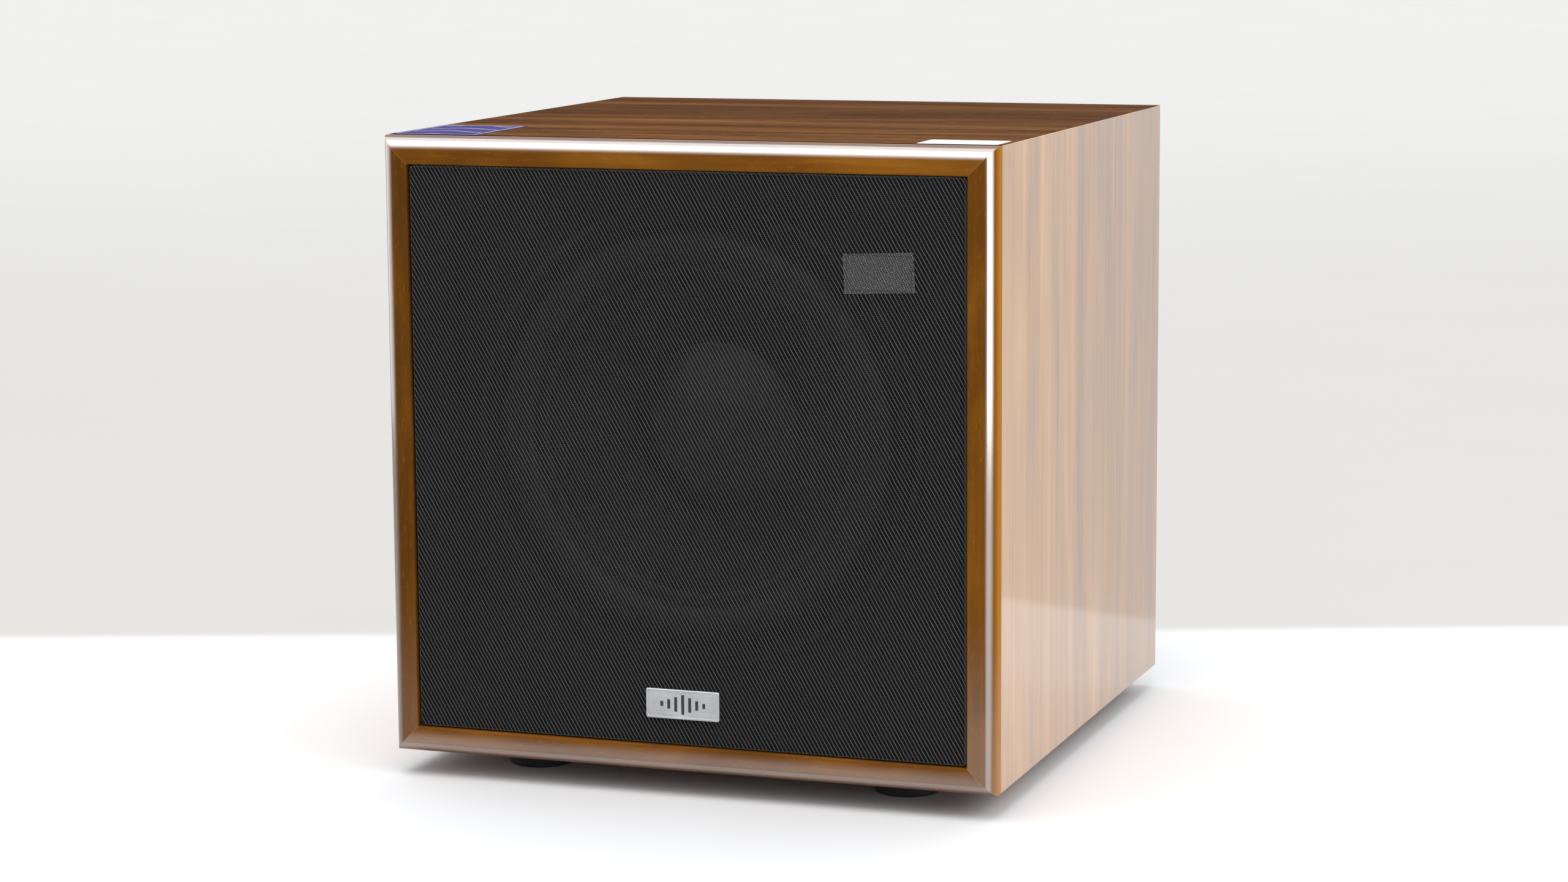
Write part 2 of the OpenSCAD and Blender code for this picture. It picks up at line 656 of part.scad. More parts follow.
// Rocker with a dished face and a pivot pin at each side, at rest with its +X end pressed in
module power_rocker() color("red") translate([inlet_x, rocker_axis_y, inlet_z + rocker_z])
    rotate([0, 0, -rocker_tilt]) {
        foot = rocker_w / 2 - 0.6;
        crown = rocker_w / 2 - 1.7;
        translate([0, 0, -rocker_h / 2]) linear_extrude(rocker_h)
            polygon(concat([[-foot, 0], [-3, -5.5], [3, -5.5], [foot, 0]],
                [for (i = [4:-1:-4]) let (x = crown * i / 4) [x, 7.2 - 1.6 * (1 - pow(i / 4, 2))]]));
        translate([0, 0, -pin_span / 2]) cylinder(r = pin_r, h = pin_span);
    }

// Drawer with a finger tab; the fuse lies in its tray
module fuse_drawer() color("black") on_back(inlet_x, inlet_z + drawer_z) difference() {
    union() {
        translate([-11.1, -4.1, -17.6]) cube([22.2, 8.2, 17.6 + amp_t + bezel_t - 0.6]);
        translate([-5, -4.1, amp_t + bezel_t - 0.6]) cube([10, 2, 1.4]);
    }
    translate([-10.3, -4.9, -16.6]) cube([20.6, 8, 9.6]);
}

module fuse() on_back(inlet_x, inlet_z + drawer_z, back_y - 12) rotate([0, 90, 0]) {
    color("silver") for (x = [-10, 5]) translate([0, 0, x]) cylinder(r = 2.6, h = 5);
    color("white") translate([0, 0, -5]) cylinder(r = 2.3, h = 10);
}

module status_led() color("lime") on_back(led_x, control_z + 22) {
    translate([0, 0, -1]) cylinder(r = 2.4, h = 1);
    cylinder(r = 1.5, h = amp_t);
    translate([0, 0, amp_t]) rotate_extrude() polygon(concat([[0, 0]], arc(0, 0, 1.5, 0, 90, 6)));
}

// Two shielded jacks: shell, insulator and centre contact
jack_shell_r = 4.15;
jack_contact_r = 1.65;
jack_len = 9;
module rca_jacks() for (x = [-1, 1]) on_back(volume_x + x * jack_pitch / 2, jack_z) {
    color("gold") difference() {
        union() {
            translate([0, 0, -1]) cylinder(r = jack_shell_r, h = amp_t + 1 + jack_len);
            translate([0, 0, amp_t]) cylinder(r = 6, h = 1.2);
            translate([0, 0, -1.2]) cylinder(r = 5, h = amp_t + 1.2);
        }
        cylinder(r = jack_contact_r, h = amp_t + jack_len + 1);
    }
    color("black") translate([-6, -6, -board_gap]) cube([12, 12, board_gap - 1.2]);
}

// ---- internal lead ----

lead_r = 1.4;
lead_gap = 1.9;
lead_path = [[0, front_y + 91, base_z + 93], [0, front_y + 97, base_z + 80],
    [2, front_y + 112, base_z + 64], [16, front_y + 150, base_z + 56], [32, front_y + 200, base_z + 60],
    [42, front_y + 250, base_z + 72], [36, front_y + 290, base_z + 112],
    [28, front_y + 322, base_z + 170], [26, board_y + 10, base_z + 215],
    [26, board_y + 10, board_z - 16], [26, board_y + 10, board_z]];
// Sideways offset of each wire: apart at the tabs, then side by side
function lead_spread(i) = i < 3 ? tab_x - i * 3.5 : lead_gap;

function spline(p, i, t) = let (a = p[max(i - 1, 0)], b = p[i], c = p[i + 1],
    d = p[min(i + 2, len(p) - 1)], curve = 2 * a - 5 * b + 4 * c - d, twist = 3 * b - a - 3 * c + d)
    0.5 * (2 * b + (c - a) * t + curve * t * t + twist * t * t * t);
function unit(v) = v / norm(v);

// A tube along a smooth path that stays near one vertical plane
module tube(path, r, sides = 8, steps = 4) {
    n = len(path) - 1;
    line = concat([for (i = [0:n - 1], k = [0:steps - 1]) spline(path, i, k / steps)], [path[n]]);
    m = len(line) - 1;
    rings = [for (i = [0:m]) let (
        way = unit(line[min(i + 1, m)] - line[max(i - 1, 0)]),
        side = unit(cross(way, [1, 0, 0])),
        over = cross(side, way))
        for (k = [0:sides - 1]) line[i] + r * (cos(k * 360 / sides) * side + sin(k * 360 / sides) * over)];
    polyhedron(rings, concat(
        [[for (k = [0:sides - 1]) k]],
        [for (i = [0:m - 1], k = [0:sides - 1]) let (a = i * sides + k, b = i * sides + (k + 1) % sides)
            each [[a, a + sides, b], [b, a + sides, b + sides]]],
        [[for (k = [sides - 1:-1:0]) m * sides + k]]));
}

module driver_lead() color("black") for (side = [-1, 1])
    tube([for (i = [0:len(lead_path) - 1]) lead_path[i] + [side * lead_spread(i), 0, 0]], lead_r);

top_panel();
bottom_panel();
left_panel();
right_panel();
back_panel();
front_baffle();
window_brace();
corner_battens();
trim_rail_top();
trim_rail_bottom();
trim_rail_left();
trim_rail_right();
damping_wadding();
feet();
foot_screws();
corner_label();
top_label();
grille_frame();
grille_cloth();
badge();
inner_label();
grille_pegs();
grille_sockets();
driver_basket();
driver_gasket();
surround_ring();
surround();
spider();
top_plate();
magnet();
yoke();
magnet_boot();
driver_terminals();
driver_screws();
cone();
dust_cap();
voice_coil_former();
voice_coil_winding();
amp_panel();
amp_gasket();
amp_screws();
heat_sink();
main_board();
input_board();
transformer();
filter_capacitors();
output_transistors();
potentiometers();
slide_switch_housings();
volume_knob();
crossover_knob();
phase_slider();
power_mode_slider();
power_rocker();
inlet_module();
fuse_drawer();
fuse();
status_led();
rca_jacks();
driver_lead();
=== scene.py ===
import json
import math

import bmesh
import bpy
from mathutils import Matrix, Vector, noise


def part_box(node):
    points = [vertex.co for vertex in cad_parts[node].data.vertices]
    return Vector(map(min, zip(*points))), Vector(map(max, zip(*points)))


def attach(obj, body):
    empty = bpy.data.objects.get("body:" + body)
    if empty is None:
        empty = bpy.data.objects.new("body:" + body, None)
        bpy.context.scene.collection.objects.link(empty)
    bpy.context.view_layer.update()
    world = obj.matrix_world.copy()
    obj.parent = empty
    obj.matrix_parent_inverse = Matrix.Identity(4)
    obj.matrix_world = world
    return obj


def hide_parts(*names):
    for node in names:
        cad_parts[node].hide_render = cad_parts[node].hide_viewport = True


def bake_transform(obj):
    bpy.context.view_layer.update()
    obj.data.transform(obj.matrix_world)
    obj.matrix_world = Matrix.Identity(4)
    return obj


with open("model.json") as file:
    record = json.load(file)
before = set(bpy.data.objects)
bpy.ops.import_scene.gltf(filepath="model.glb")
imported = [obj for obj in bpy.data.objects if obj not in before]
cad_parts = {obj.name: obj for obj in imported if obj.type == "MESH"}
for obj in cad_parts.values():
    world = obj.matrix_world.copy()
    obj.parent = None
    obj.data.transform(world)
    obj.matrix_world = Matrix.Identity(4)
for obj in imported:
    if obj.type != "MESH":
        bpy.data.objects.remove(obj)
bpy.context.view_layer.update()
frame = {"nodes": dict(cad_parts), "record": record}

MM = 0.001

# Places that the pieces and the materials share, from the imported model
PANEL_LOW, PANEL_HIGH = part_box("right_panel")
CLOTH_LOW, CLOTH_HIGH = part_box("grille_cloth")
BADGE_LOW, BADGE_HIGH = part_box("badge")
ROLL_LOW, ROLL_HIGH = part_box("surround")
FRONT_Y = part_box("trim_rail_right")[0].y
BACK_Y = PANEL_HIGH.y
HALF_W = PANEL_HIGH.x
MIDDLE_Z = (PANEL_LOW.z + PANEL_HIGH.z) / 2
HALF_H = (PANEL_HIGH.z - PANEL_LOW.z) / 2
AXIS = (ROLL_LOW + ROLL_HIGH) / 2
BAFFLE_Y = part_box("front_baffle")[0].y
PLATE_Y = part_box("amp_panel")[1].y
LEAF_JOINTS = (PANEL_LOW.y + 245 * MM, PANEL_LOW.y + 288 * MM)


def tone(red, green, blue):
    """Linear colour with alpha from display values between 0 and 255."""
    linear = [(c / 255 / 12.92) if c < 10.3 else ((c / 255 + 0.055) / 1.055) ** 2.4
              for c in (red, green, blue)]
    return (*linear, 1.0)


def centre_of(node):
    low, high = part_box(node)
    return (low + high) / 2


# ---------------------------------------------------------------- materials

class Paint:
    """A material under construction. Every method adds a node and returns its output."""

    def __init__(self, name, **constants):
        self.material = bpy.data.materials.new(name)
        self.material.use_nodes = True
        self.nodes = self.material.node_tree.nodes
        self.links = self.material.node_tree.links
        self.shader = self.nodes["Principled BSDF"]
        for key, value in constants.items():
            self.shader.inputs[key.replace("_", " ")].default_value = value
        self.coords = self.nodes.new("ShaderNodeTexCoord")

    def feed(self, socket, value):
        if isinstance(value, bpy.types.NodeSocket):
            self.links.new(value, socket)
        else:
            socket.default_value = value

    def node(self, kind, values, out=0, **settings):
        made = self.nodes.new(kind)
        for key, value in settings.items():
            setattr(made, key, value)
        for key, value in values.items():
            self.feed(made.inputs[key], value)
        return made.outputs[out]

    def at(self, x=1.0, y=1.0, z=1.0, shift=(0, 0, 0)):
        """Place in the object's frame, in metres, times a factor along each axis."""
        return self.node("ShaderNodeMapping", {"Vector": self.coords.outputs["Object"],
                                               "Location": shift, "Scale": (x, y, z)})

    def along(self, axis, kind="Object"):
        """One component of the place in the object's frame, or of the surface's normal."""
        return self.node("ShaderNodeSeparateXYZ", {"Vector": self.coords.outputs[kind]},
                         out="XYZ".index(axis))

    def facing(self, axis):
        """How far the surface faces along an axis, from 0 to 1 either way."""
        return self.math("ABSOLUTE", self.along(axis, "Normal"))

    def math(self, operation, a, b=0.0, c=0.0):
        return self.node("ShaderNodeMath", {0: a, 1: b, 2: c}, operation=operation)

    def step(self, value, low, high):
        """0 below low, 1 above high, smooth between."""
        return self.node("ShaderNodeMapRange", {"Value": value, "From Min": low, "From Max": high},
                         interpolation_type="SMOOTHSTEP")

    def spread(self, value, low, high):
        """A value from 0 to 1 taken to between low and high."""
        return self.node("ShaderNodeMapRange", {"Value": value, "To Min": low, "To Max": high})

    def noise(self, where, scale=1.0, detail=2.0, rough=0.5, warp=0.0):
        return self.node("ShaderNodeTexNoise", {"Vector": where, "Scale": scale, "Detail": detail,
                                                "Roughness": rough, "Distortion": warp})

    def cells(self, where, scale, feature="F1"):
        return self.node("ShaderNodeTexVoronoi", {"Vector": where, "Scale": scale}, feature=feature)

    def ramp(self, value, *stops):
        made = self.nodes.new("ShaderNodeValToRGB")
        band = made.color_ramp
        while len(band.elements) < len(stops):
            band.elements.new(0.5)
        for element, (place, colour) in zip(band.elements, stops):
            element.position = place
            element.color = colour
        self.feed(made.inputs[0], value)
        return made.outputs[0]

    def blend(self, share, a, b, how="MIX"):
        made = self.nodes.new("ShaderNodeMix")
        made.data_type = "RGBA"
        made.blend_type = how
        for index, value in ((0, share), (6, a), (7, b)):
            self.feed(made.inputs[index], value)
        return made.outputs[2]

    def bump(self, height, strength, depth):
        """Relief over the whole surface, with its depth in metres."""
        normal = self.node("ShaderNodeBump", {"Height": height, "Strength": strength, "Distance": depth})
        self.feed(self.shader.inputs["Normal"], normal)

    def colour(self, value):
        self.feed(self.shader.inputs["Base Color"], value)

    def roughness(self, value):
        self.feed(self.shader.inputs["Roughness"], value)

    def metal(self, value):
        self.feed(self.shader.inputs["Metallic"], value)


def grain_axes(axis, along, across):
    return {a.lower(): along if a == axis else across for a in "XYZ"}


def veneer(name, axis, tones, pore, streaks, roughness, joints=(), **constants):
    """Lacquered veneer with its grain along an axis: bands, flames, streaks, pores and leaf joints, and
    painted shade that darkens it toward the back.
    """
    p = Paint(name, **constants)
    slow = p.noise(p.at(**grain_axes(axis, 0.8, 24.0)), detail=4, warp=0.3)
    flame = p.math("SINE", p.math("MULTIPLY", p.noise(p.at(**grain_axes(axis, 1.0, 6.0), shift=(5, 2, 8)),
                                                      detail=1), 75.0))
    fine = p.noise(p.at(**grain_axes(axis, 1.8, 120.0)), detail=6, rough=0.66)
    hair = p.noise(p.at(**grain_axes(axis, 9.0, 620.0)), detail=3, rough=0.6)
    tint = p.ramp(p.math("ADD", slow, p.math("MULTIPLY", flame, 0.05)),
                  (0.34, tones[0]), (0.46, tones[1]), (0.55, tones[2]), (0.68, tones[3]))
    tint = p.blend(p.spread(p.step(fine, 0.36, 0.62), streaks, 0.0), tint, tones[0], "MULTIPLY")
    tint = p.blend(p.spread(p.step(hair, 0.40, 0.66), 0.0, 0.32), tint, tones[3])
    specks = p.step(p.noise(p.at(**grain_axes(axis, 70.0, 1300.0)), detail=1), 0.64, 0.74)
    tint = p.blend(p.math("MULTIPLY", specks, pore[1]), tint, pore[0])
    # Painted shade: the colour darkens toward the back of the cabinet, standing in for less light falling
    # there.
    depth = p.step(p.along("Y"), PANEL_LOW.y, BACK_Y)
    tint = p.blend(p.math("MULTIPLY", depth, 0.35), tint, tones[0])
    for place in joints:
        off = p.math("ABSOLUTE", p.math("SUBTRACT", p.along("Y"), place))
        tint = p.blend(p.math("MULTIPLY", p.math("SUBTRACT", 1.0, p.step(off, 0.15 * MM, 0.6 * MM)), 0.5),
                       tint, tone(92, 66, 52))
        p.feed(p.shader.inputs["Coat Weight"], p.step(p.facing("X"), 0.9, 0.995))
    back = p.math("GREATER_THAN", p.along("Y"), BACK_Y - 0.3 * MM)
    seam = p.math("LESS_THAN", p.along("Y"), PANEL_LOW.y + 0.35 * MM)
    tint = p.blend(p.math("MULTIPLY", seam, 0.55), tint, tone(40, 20, 8))
    p.colour(p.blend(back, tint, tone(24, 23, 22)))
    p.roughness(p.math("ADD", p.spread(fine, *roughness), p.math("MULTIPLY", back, 0.35)))
    p.bump(p.math("SUBTRACT", fine, p.math("MULTIPLY", specks, 0.7)), 0.35, 0.00012)
    return p.material


def lacquered_rail(name, axis, shine, strip, index, tones, painted_side_light=None):
    """Stained solid wood, with its lacquer polished on the roundover, beside it and low down, and on one rail
    a painted side light.

    shine holds how far the surface faces the front where the polish starts, is full, fades and ends.
    """
    p = Paint(name, Specular_IOR_Level=0.03, Coat_IOR=index, Coat_Roughness=0.13,
              Coat_Tint=(1.0, 0.97, 0.94, 1.0))
    soft = p.noise(p.at(**grain_axes(axis, 9.0, 30.0)), detail=4, warp=0.6)
    pores = p.noise(p.at(**grain_axes(axis, 160.0, 900.0)), detail=2)
    streak = p.noise(p.at(**grain_axes(axis, 8.0, 240.0)), detail=4, rough=0.6)
    tint = p.ramp(soft, (0.30, tones[0]), (0.50, tones[1]), (0.70, tones[2]))
    tint = p.blend(p.spread(p.step(streak, 0.35, 0.65), 0.25, 0.0), tint, tone(66, 34, 5))
    tint = p.blend(p.math("MULTIPLY", p.step(pores, 0.60, 0.72), 0.16), tint, tone(176, 118, 40))
    # The middle of the flat face, as a distance from the cabinet's outside
    face_middle = 14 * MM
    # The mitre runs at 45 degrees from the outer corner
    across = p.math("SUBTRACT", HALF_W, p.math("ABSOLUTE", p.along("X")))
    up = p.math("SUBTRACT", HALF_H, p.math("ABSOLUTE", p.math("SUBTRACT", p.along("Z"), MIDDLE_Z)))
    edge = p.math("MINIMUM", across, up)
    from_middle = p.math("ABSOLUTE", p.math("SUBTRACT", edge, face_middle))
    rim = p.math("SUBTRACT", 1.0, p.step(from_middle, 5 * MM, 9 * MM))
    tint = p.blend(p.spread(rim, 0.30, 0.0), tint, tone(58, 30, 6))
    off = p.math("ABSOLUTE", p.math("SUBTRACT", across, up))
    mitre = p.math("SUBTRACT", 1.0, p.step(off, 0.12 * MM, 0.55 * MM))
    tint = p.blend(p.math("MULTIPLY", mitre, 0.45), tint, tone(190, 134, 66))
    tint = p.blend(p.math("SUBTRACT", 1.0, p.step(off, 0.02 * MM, 0.14 * MM)), tint, tone(58, 30, 8))
    turn = p.facing("Y")
    # Painted light: where the moulding turns to face sideways it is coloured lighter, standing in for light
    # falling on that side.
    if painted_side_light:
        tint = p.blend(p.math("MULTIPLY", p.math("SUBTRACT", 1.0, p.step(turn, 0.1, 0.8)),
                              p.math("LESS_THAN", edge, face_middle)), tint, painted_side_light)
    p.colour(tint)
    polish = p.math("MULTIPLY", p.step(turn, shine[0], shine[1]),
                    p.math("SUBTRACT", 1.0, p.step(turn, shine[2], shine[3])))
    polish = p.math("MULTIPLY", polish, p.math("SUBTRACT", 1.0, p.step(edge, 15 * MM, 17 * MM)))
    beside = p.math("MULTIPLY", p.math("SUBTRACT", 1.0, p.step(turn, 0.02, shine[1])), strip)
    height = p.math("SUBTRACT", p.along("Z"), PANEL_LOW.z)
    low = p.math("MULTIPLY", p.math("SUBTRACT", 1.0, p.step(height, 0.0, 0.13)), 0.30)
    if "bottom" in name:
        low = p.math("MULTIPLY", p.math("SUBTRACT", 1.0, p.step(up, 7 * MM, 18 * MM)), 0.62)
    p.feed(p.shader.inputs["Coat Weight"], p.math("MAXIMUM", p.math("MAXIMUM", polish, beside), low))
    p.roughness(p.spread(soft, 0.42, 0.62))
    p.bump(p.math("ADD", streak, p.math("MULTIPLY", soft, 2.0)), 0.15, 0.00006)
    return p.material


def knitted_cloth():
    """Open warp-knitted mesh: thin bright wales at 60 degrees, darker loops and see-through holes between,
    and a painted highlight where it bends round the edges.
    """
    p = Paint("knitted_cloth", Roughness=0.9, Specular_IOR_Level=0.08, Sheen_Weight=0.05,
              Sheen_Roughness=0.45, Sheen_Tint=tone(196, 198, 198))
    wale, course = 2.42 * MM, 1.45 * MM
    x, y, z = p.along("X"), p.along("Y"), p.along("Z")

    def line(a, b, c, size):
        total = p.math("MULTIPLY_ADD", x, a / size, p.math("MULTIPLY", y, b / size))
        return p.math("MULTIPLY_ADD", z, c / size, total)

    run = line(0.5, 0.8, -0.866, course)
    wander = p.noise(p.at(90.0, 90.0, 90.0), detail=2)
    side = p.math("ADD", line(0.866, 0.6, 0.5, wale), p.math("MULTIPLY", p.math("SINE", p.math(
        "MULTIPLY", run, 2 * math.pi)), 0.07))
    side = p.math("MULTIPLY_ADD", wander, 0.35, side)
    apart = p.math("MULTIPLY", p.math("PINGPONG", side, 0.5), 2.0)
    thread = p.math("SUBTRACT", 1.0, p.step(apart, 0.12, 0.38))
    column = p.math("MULTIPLY", side, 3.0)
    over = p.math("MULTIPLY", p.math("PINGPONG", column, 0.5), 2.0)
    down = p.math("MULTIPLY", p.math("PINGPONG", p.math("MULTIPLY_ADD", column, 0.5, run), 0.5), 2.0)
    reach = p.math("SQRT", p.math("ADD", p.math("MULTIPLY", over, over), p.math("MULTIPLY", down, down)))
    hole = p.math("MULTIPLY", p.math("SUBTRACT", 1.0, p.step(reach, 0.50, 0.80)),
                  p.step(apart, 0.34, 0.48))
    strand = p.math("MULTIPLY", thread, p.spread(p.step(down, 0.1, 0.9), 1.0, 0.72))
    tint = p.ramp(strand, (0.0, tone(12, 12, 12)), (0.5, tone(46, 46, 46)), (1.0, tone(110, 110, 110)))
    shade = p.noise(p.at(16.0, 16.0, 16.0), detail=3)
    tint = p.blend(p.spread(shade, 0.0, 0.30), tint, tone(12, 12, 12))
    # Painted highlight: the cloth is coloured lighter where it turns away from the front round the board's
    # edges.
    painted_edge_highlight = p.math("SUBTRACT", 1.0, p.step(p.facing("Y"), 0.55, 0.97))
    tint = p.blend(p.math("MULTIPLY", painted_edge_highlight, 0.45), tint, tone(136, 142, 140))
    p.colour(tint)
    p.feed(p.shader.inputs["Alpha"], p.spread(hole, 1.0, 0.0))
    p.bump(p.math("ADD", strand, p.spread(reach, 0.0, 0.6)), 0.8, 0.0004)
    return p.material


def mottled(name, dark, light, scale, roughness, relief=(0.3, 0.0001), stretch=(1, 1, 1), **constants):
    """A finish with two close tones and matching relief, such as moulded plastic, rubber or paint."""
    p = Paint(name, **constants)
    where = p.at(*stretch)
    broad = p.noise(where, scale=scale / 12, detail=3)
    grit = p.noise(where, scale=scale, detail=3, rough=0.65)
    dust = p.noise(where, scale=scale / 3, detail=4, rough=0.7)
    tint = p.ramp(p.math("ADD", p.math("MULTIPLY", broad, 0.6), p.math("MULTIPLY", grit, 0.4)),
                  (0.34, dark), (0.66, light))
    p.colour(p.blend(p.math("MULTIPLY", p.step(dust, 0.58, 0.78), 0.12), tint, tone(150, 146, 140)))
    p.roughness(p.spread(p.math("ADD", p.math("MULTIPLY", broad, 0.5), p.math("MULTIPLY", grit, 0.5)),
                         *roughness))
    p.bump(grit, *relief)
    return p.material


def brushed(name, dark, light, axis, roughness=(0.25, 0.45), metallic=1.0):
    """Metal with fine lines along an axis and faint stains."""
    p = Paint(name, Metallic=metallic)
    lines = p.noise(p.at(**grain_axes(axis, 40.0, 4200.0)), detail=3, rough=0.7)
    stain = p.noise(p.at(60.0, 60.0, 60.0), detail=4)
    p.colour(p.ramp(p.math("ADD", p.math("MULTIPLY", lines, 0.6), p.math("MULTIPLY", stain, 0.4)),
                    (0.32, dark), (0.68, light)))
    p.roughness(p.spread(p.math("ADD", p.math("MULTIPLY", lines, 0.7), p.math("MULTIPLY", stain, 0.3)),
                         *roughness))
    p.bump(lines, 0.25, 0.00004)
    return p.material


def black_screw_head():
    """Blackened steel, worn to bare metal in spots."""
    p = Paint("black_screw_head")
    wear = p.step(p.noise(p.at(1, 1, 1), scale=900, detail=4, rough=0.7), 0.56, 0.70)
    p.colour(p.blend(wear, tone(26, 26, 28), tone(120, 118, 114)))
    p.metal(p.spread(wear, 0.4, 1.0))
    p.roughness(p.spread(wear, 0.42, 0.28))
    p.bump(p.noise(p.at(1, 1, 1), scale=2600, detail=2), 0.2, 0.00004)
    return p.material


def paper_cone():
    """Pressed pulp with fibres and a faint radial lay."""
    p = Paint("pressed_pulp", Specular_IOR_Level=0.25)
    fibres = p.noise(p.at(1, 1, 1), scale=420, detail=6, rough=0.75, warp=1.6)
    lumps = p.noise(p.at(1, 1, 1), scale=90, detail=3)
    p.colour(p.ramp(p.math("ADD", p.math("MULTIPLY", fibres, 0.7), p.math("MULTIPLY", lumps, 0.3)),
                    (0.35, tone(22, 22, 23)), (0.55, tone(46, 45, 44)), (0.72, tone(96, 92, 86))))
    p.roughness(p.spread(fibres, 0.65, 0.95))
    p.bump(p.math("ADD", fibres, lumps), 0.6, 0.0003)
    return p.material


def ringed(name, dark, light, pitch, roughness, metallic=0.0, depth=0.0002, axis="Y"):
    """Turns or ridges that repeat along the driver's axis, as on a winding."""
    p = Paint(name, Metallic=metallic)
    turns = p.math("MULTIPLY", p.math("PINGPONG", p.math("DIVIDE", p.along(axis), pitch), 0.5), 2.0)
    stain = p.noise(p.at(1, 1, 1), scale=150, detail=4)
    p.colour(p.ramp(p.math("ADD", p.math("MULTIPLY", turns, 0.65), p.math("MULTIPLY", stain, 0.35)),
                    (0.25, dark), (0.7, light)))
    p.roughness(p.spread(stain, *roughness))
    p.bump(turns, 0.7, depth)
    return p.material


def circuit_board():
    """Green solder mask over copper tracks, with bright pads."""
    p = Paint("circuit_board", Coat_Weight=0.3, Coat_Roughness=0.25)
    tracks = p.node("ShaderNodeTexBrick", {"Vector": p.at(1, 1, 1), "Scale": 55.0, "Mortar Size": 0.03,
                                           "Color1": (1, 1, 1, 1), "Color2": (0.8, 0.8, 0.8, 1)}, out=1)
    pads = p.math("SUBTRACT", 1.0, p.step(p.cells(p.at(1, 1, 1), 140), 0.10, 0.14))
    body = p.ramp(p.noise(p.at(1, 1, 1), scale=30, detail=3),
                  (0.3, tone(12, 58, 30)), (0.7, tone(22, 84, 44)))
    p.colour(p.blend(pads, p.blend(tracks, body, tone(48, 122, 66)), tone(196, 198, 190)))
    p.metal(p.math("MULTIPLY", pads, 0.9))
    p.roughness(p.spread(pads, 0.45, 0.25))
    p.bump(p.math("ADD", pads, tracks), 0.4, 0.00008)
    return p.material


def bare_wood():
    """Planed softwood with soft early rings and harder dark ones, along the depth."""
    p = Paint("bare_softwood", Specular_IOR_Level=0.3)
    rings = p.math("SINE", p.math("MULTIPLY", p.noise(p.at(9.0, 1.2, 9.0), detail=2, warp=0.4), 70.0))
    fibre = p.noise(p.at(420.0, 14.0, 420.0), detail=4)
    tint = p.ramp(rings, (0.2, tone(214, 178, 128)), (0.8, tone(184, 138, 84)))
    p.colour(p.blend(p.spread(fibre, 0.0, 0.4), tint, tone(160, 116, 70)))
    p.roughness(p.spread(fibre, 0.6, 0.85))
    p.bump(fibre, 0.4, 0.0002)
    return p.material


def baffle_paint():
    """Thin black paint rolled over fibreboard, with a slight orange peel."""
    p = Paint("rolled_black_paint", Specular_IOR_Level=0.35)
    peel = p.noise(p.at(1, 1, 1), scale=520, detail=3)
    thin = p.step(p.noise(p.at(1, 1, 1), scale=60, detail=5, rough=0.7), 0.60, 0.82)
    p.colour(p.blend(p.math("MULTIPLY", thin, 0.35), tone(20, 20, 20), tone(58, 48, 40)))
    p.roughness(p.spread(peel, 0.55, 0.85))
    p.bump(peel, 0.5, 0.00025)
    return p.material


def sticker(name, node, base, border, bands):
    """A printed paper label: a pale border just inside its edge and, on one, plain wavy bands."""
    low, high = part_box(node)
    middle, half = (low + high) / 2, (high - low) / 2
    axes = ("X", "Z") if half.y < half.z else ("X", "Y")
    index = {"X": 0, "Y": 1, "Z": 2}
    p = Paint(name, Specular_IOR_Level=0.06)
    inset = [p.math("SUBTRACT", half[index[a]], p.math("ABSOLUTE", p.math("SUBTRACT", p.along(a), middle[
        index[a]]))) for a in axes]
    edge = p.math("MINIMUM", inset[0], inset[1])
    rim = p.math("MULTIPLY", p.step(edge, 2.0 * MM, 2.2 * MM),
                 p.math("SUBTRACT", 1.0, p.step(edge, 3.0 * MM, 3.2 * MM)))
    fibre = p.noise(p.at(1, 1, 1), scale=1500, detail=3)
    cloud = p.noise(p.at(1, 1, 1), scale=25, detail=3)
    tint = p.blend(p.spread(cloud, 0.0, 0.35), base[0], base[1])
    if bands:
        wave = p.math("MULTIPLY_ADD", p.math("SINE", p.math("MULTIPLY", p.along("X"), 110.0)), 5.0 * MM,
                      p.along("Y"))
        stripe = p.math("MULTIPLY", p.math("PINGPONG", p.math("DIVIDE", wave, 26 * MM), 0.5), 2.0)
        inside = p.step(edge, 6.0 * MM, 6.4 * MM)
        mark = p.math("MULTIPLY", p.math("SUBTRACT", 1.0, p.step(stripe, 0.06, 0.10)), inside)
        tint = p.blend(p.math("MULTIPLY", mark, 0.7), tint, border)
    p.colour(p.blend(rim, tint, border))
    p.roughness(p.spread(fibre, 0.35, 0.6))
    p.bump(fibre, 0.2, 0.00005)
    return p.material


def knob_plastic(name, node):
    """Soft-touch black with a white line in the pointer's groove."""
    middle = centre_of(node)
    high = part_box(node)[1]
    p = Paint(name, Specular_IOR_Level=0.4)
    grit = p.noise(p.at(1, 1, 1), scale=2400, detail=2)
    near = p.math("LESS_THAN", p.math("ABSOLUTE", p.math("SUBTRACT", p.along("X"), middle.x)), 0.49 * MM)
    above = p.math("GREATER_THAN", p.along("Z"), middle.z + 0.5 * MM)
    floor = p.math("LESS_THAN", p.math("ABSOLUTE", p.math("SUBTRACT", p.along("Y"), high.y - 0.6 * MM)),
                   0.1 * MM)
    line = p.math("MULTIPLY", p.math("MULTIPLY", near, above), floor)
    body = p.ramp(grit, (0.3, tone(26, 26, 27)), (0.7, tone(44, 44, 45)))
    p.colour(p.blend(line, body, tone(228, 228, 222)))
    p.roughness(p.spread(grit, 0.45, 0.65))
    p.bump(grit, 0.3, 0.00006)
    return p.material


def foam():
    """Closed-cell black foam."""
    p = Paint("closed_cell_foam", Specular_IOR_Level=0.2)
    pits = p.cells(p.at(1, 1, 1), 1100)
    p.colour(p.ramp(pits, (0.1, tone(52, 52, 53)), (0.6, tone(20, 20, 21))))
    p.roughness(p.spread(pits, 0.95, 0.8))
    p.bump(pits, 0.7, 0.0003)
    return p.material


